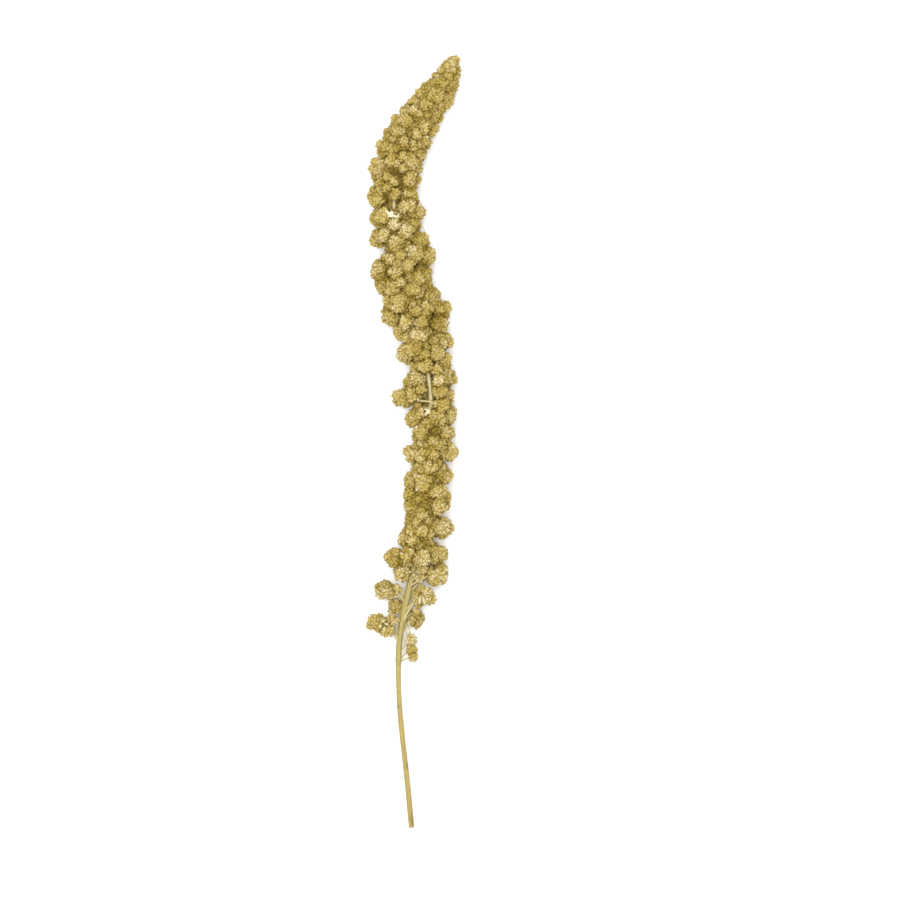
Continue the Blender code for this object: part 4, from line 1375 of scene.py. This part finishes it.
class MilletStage(bpy.types.PropertyGroup):
    floor: colour_property("Floor", "Colour of the floor", tone(246, 246, 244))
    floor_size: size_property("Floor Size", "Side of the square floor", 6.0)
    sky: bpy.props.FloatProperty(
        name="Sky", description="Strength of the even light from all round", default=0.72, min=0.0
    )
    key: bpy.props.FloatProperty(
        name="Key", description="Power of the large lamp above", default=84.0, min=0.0,
        unit="POWER",
    )
    lens: bpy.props.FloatProperty(
        name="Lens", description="Focal length of the camera in millimetres", default=200.0,
        min=20.0, unit="CAMERA",
    )
    width: size_property("Picture Width", "Width that the picture takes in", 0.405)


# Operators, one for each piece or group of like pieces

def settle(piece, node):
    """Ties a finished piece to the frame, which carries it, and hides the part that it stands for."""
    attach(piece, BODY)
    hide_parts(node)


def grown_rows(settings):
    """The rows of all the grains, and the round of chance that they leave off in."""
    points, clusters = grown_clusters(settings)
    chance = chance_for("grains")
    return place_grains(points, clusters, settings, chance), chance


class MILLET_OT_grains(bpy.types.Operator):
    """Sets husked grains over every lobe of every cluster, in five pieces along the head"""

    bl_idname = "millet.grains"
    bl_label = "Grains"

    def execute(self, context):
        settings = context.scene.millet_grains
        rows, chance = grown_rows(settings)
        finish = grain_finish(context.scene.millet_colours)
        starts = [start * MM for _, start in GRAIN_PIECES] + [math.inf]
        for (name, _), low, high in zip(GRAIN_PIECES, starts, starts[1:]):
            mine = rows[(rows[:, 1] >= low) & (rows[:, 1] < high)]
            piece = grain_bundle(mine, settings, chance).make(name, finish)
            settle(piece, HEAD_NODE)
        return {"FINISHED"}


class MILLET_OT_husks(bpy.types.Operator):
    """Scatters gaping empty husks, most of them over the foot"""

    bl_idname = "millet.husks"
    bl_label = "Gaping Husks"

    def execute(self, context):
        settings = context.scene.millet_grains
        rows, _ = grown_rows(settings)
        finish = grain_finish(context.scene.millet_colours)
        bundle = husk_bundle(rows, settings, chance_for("husks"))
        settle(bundle.make("gaping_husks", finish), HEAD_NODE)
        return {"FINISHED"}


class MILLET_OT_bristles(bpy.types.Operator):
    """Sets short bristles between the grains"""

    bl_idname = "millet.bristles"
    bl_label = "Bristles"

    def execute(self, context):
        settings = context.scene.millet_grains
        rows, _ = grown_rows(settings)
        finish = straw_finish("bristle_straw", context.scene.millet_colours)
        bundle = bristle_bundle(rows, settings, chance_for("bristles"))
        settle(bundle.make("bristles", finish), HEAD_NODE)
        return {"FINISHED"}


class MILLET_OT_chaff(bpy.types.Operator):
    """Packs chaff, coloured as painted shade, under the grains of every cluster"""

    bl_idname = "millet.chaff"
    bl_label = "Chaff"

    def execute(self, context):
        settings = context.scene.millet_grains
        points, clusters = grown_clusters(settings)
        finish = chaff_finish(context.scene.millet_colours)
        bundle = chaff_bundle(points, clusters, settings)
        settle(bundle.make("chaff", finish), HEAD_NODE)
        return {"FINISHED"}


class MILLET_OT_rachis(bpy.types.Operator):
    """Grows the rachis and the branch that carries each cluster"""

    bl_idname = "millet.rachis"
    bl_label = "Rachis and Branches"

    def execute(self, context):
        settings = context.scene.millet_grains
        points, clusters = grown_clusters(settings)
        chance = chance_for("rachis")
        line = rachis_line(points)
        finish = straw_finish("rachis_straw", context.scene.millet_colours)
        pale = straw_finish("twig_straw", context.scene.millet_colours)
        for name, bundle, straw in (
            ("rachis", rachis_bundle(line, clusters, chance), finish),
            ("branches", branch_bundle(line, clusters, settings, chance), finish),
            ("twigs", twig_bundle(points, clusters, settings, chance), pale),
        ):
            settle(bundle.make(name, straw, SHARP_STRAW), HEAD_NODE)
        return {"FINISHED"}


class MILLET_OT_stalk(bpy.types.Operator):
    """Draws the bare stalk down to its cut end"""

    bl_idname = "millet.stalk"
    bl_label = "Stalk"

    def execute(self, context):
        bundle = stalk_bundle(growth_points(), context.scene.millet_stalk, chance_for("stalk"))
        finish = straw_finish("stalk_straw", context.scene.millet_colours)
        settle(bundle.make("dried_stalk", finish, SHARP_STALK), STALK_NODE)
        return {"FINISHED"}


class MILLET_OT_stage(bpy.types.Operator):
    """Lays the pale floor, lights the head softly and sets the camera straight above it"""

    bl_idname = "millet.stage"
    bl_label = "Floor, Light and Camera"

    def execute(self, context):
        stage = context.scene.millet_stage
        half = stage.floor_size / 2
        mesh = bpy.data.meshes.new("floor")
        square = [(-half, -half, 0), (half, -half, 0), (half, half, 0), (-half, half, 0)]
        mesh.from_pydata(square, [], [(0, 1, 2, 3)])
        mesh.materials.append(floor_finish(stage.floor))
        floor = bpy.data.objects.new("floor", mesh)
        context.scene.collection.objects.link(floor)
        self.light(context, stage)
        self.aim(context, stage)
        return {"FINISHED"}

    def light(self, context, stage):
        world = bpy.data.worlds.new("studio")
        world.use_nodes = True
        sky = world.node_tree.nodes["Background"]
        sky.inputs["Color"].default_value = (1.0, 1.0, 1.0, 1.0)
        sky.inputs["Strength"].default_value = stage.sky
        context.scene.world = world
        lamp = bpy.data.lights.new("key", "AREA")
        lamp.shape = "SQUARE"
        lamp.size = LAMP_SIZE
        lamp.energy = stage.key
        key = bpy.data.objects.new("key", lamp)
        key.location = LAMP_PLACE
        key.rotation_euler = key.location.to_track_quat("Z", "Y").to_euler()
        context.scene.collection.objects.link(key)

    def aim(self, context, stage):
        lens = bpy.data.cameras.new("camera")
        lens.lens = stage.lens
        lens.clip_end = VIEW_DEPTH
        camera = bpy.data.objects.new("camera", lens)
        away = stage.width * stage.lens / lens.sensor_width
        camera.location = (*PICTURE_MIDDLE, SUBJECT_HEIGHT + away)
        context.scene.collection.objects.link(camera)
        context.scene.camera = camera
        context.scene.view_settings.view_transform = "Standard"


class MILLET_PT_head(bpy.types.Panel):
    """Lists the pieces of the millet head with their sizes and colours"""

    bl_idname = "MILLET_PT_head"
    bl_label = "Foxtail Millet Head"
    bl_space_type = "VIEW_3D"
    bl_region_type = "UI"
    bl_category = "Millet"

    def draw(self, context):
        layout = self.layout
        layout.use_property_split = True
        for operator in OPERATORS:
            layout.operator(operator.bl_idname, text=operator.bl_label)
        for name, group in SETTINGS.items():
            box = layout.box()
            for key in group.__annotations__:
                box.prop(getattr(context.scene, name), key)


SETTINGS = {
    "millet_grains": MilletGrains,
    "millet_colours": MilletColours,
    "millet_stalk": MilletStalk,
    "millet_stage": MilletStage,
}
OPERATORS = (
    MILLET_OT_chaff,
    MILLET_OT_grains,
    MILLET_OT_husks,
    MILLET_OT_bristles,
    MILLET_OT_rachis,
    MILLET_OT_stalk,
    MILLET_OT_stage,
)


def register():
    for name, group in SETTINGS.items():
        bpy.utils.register_class(group)
        setattr(bpy.types.Scene, name, bpy.props.PointerProperty(type=group))
    for kind in (*OPERATORS, MILLET_PT_head):
        bpy.utils.register_class(kind)


def unregister():
    for kind in (MILLET_PT_head, *reversed(OPERATORS)):
        bpy.utils.unregister_class(kind)
    for name, group in reversed(SETTINGS.items()):
        delattr(bpy.types.Scene, name)
        bpy.utils.unregister_class(group)


def main():
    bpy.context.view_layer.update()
    register()
    bpy.ops.millet.chaff()
    bpy.ops.millet.grains()
    bpy.ops.millet.husks()
    bpy.ops.millet.bristles()
    bpy.ops.millet.rachis()
    bpy.ops.millet.stalk()
    bpy.ops.millet.stage()


if __name__ == "__main__":
    main()
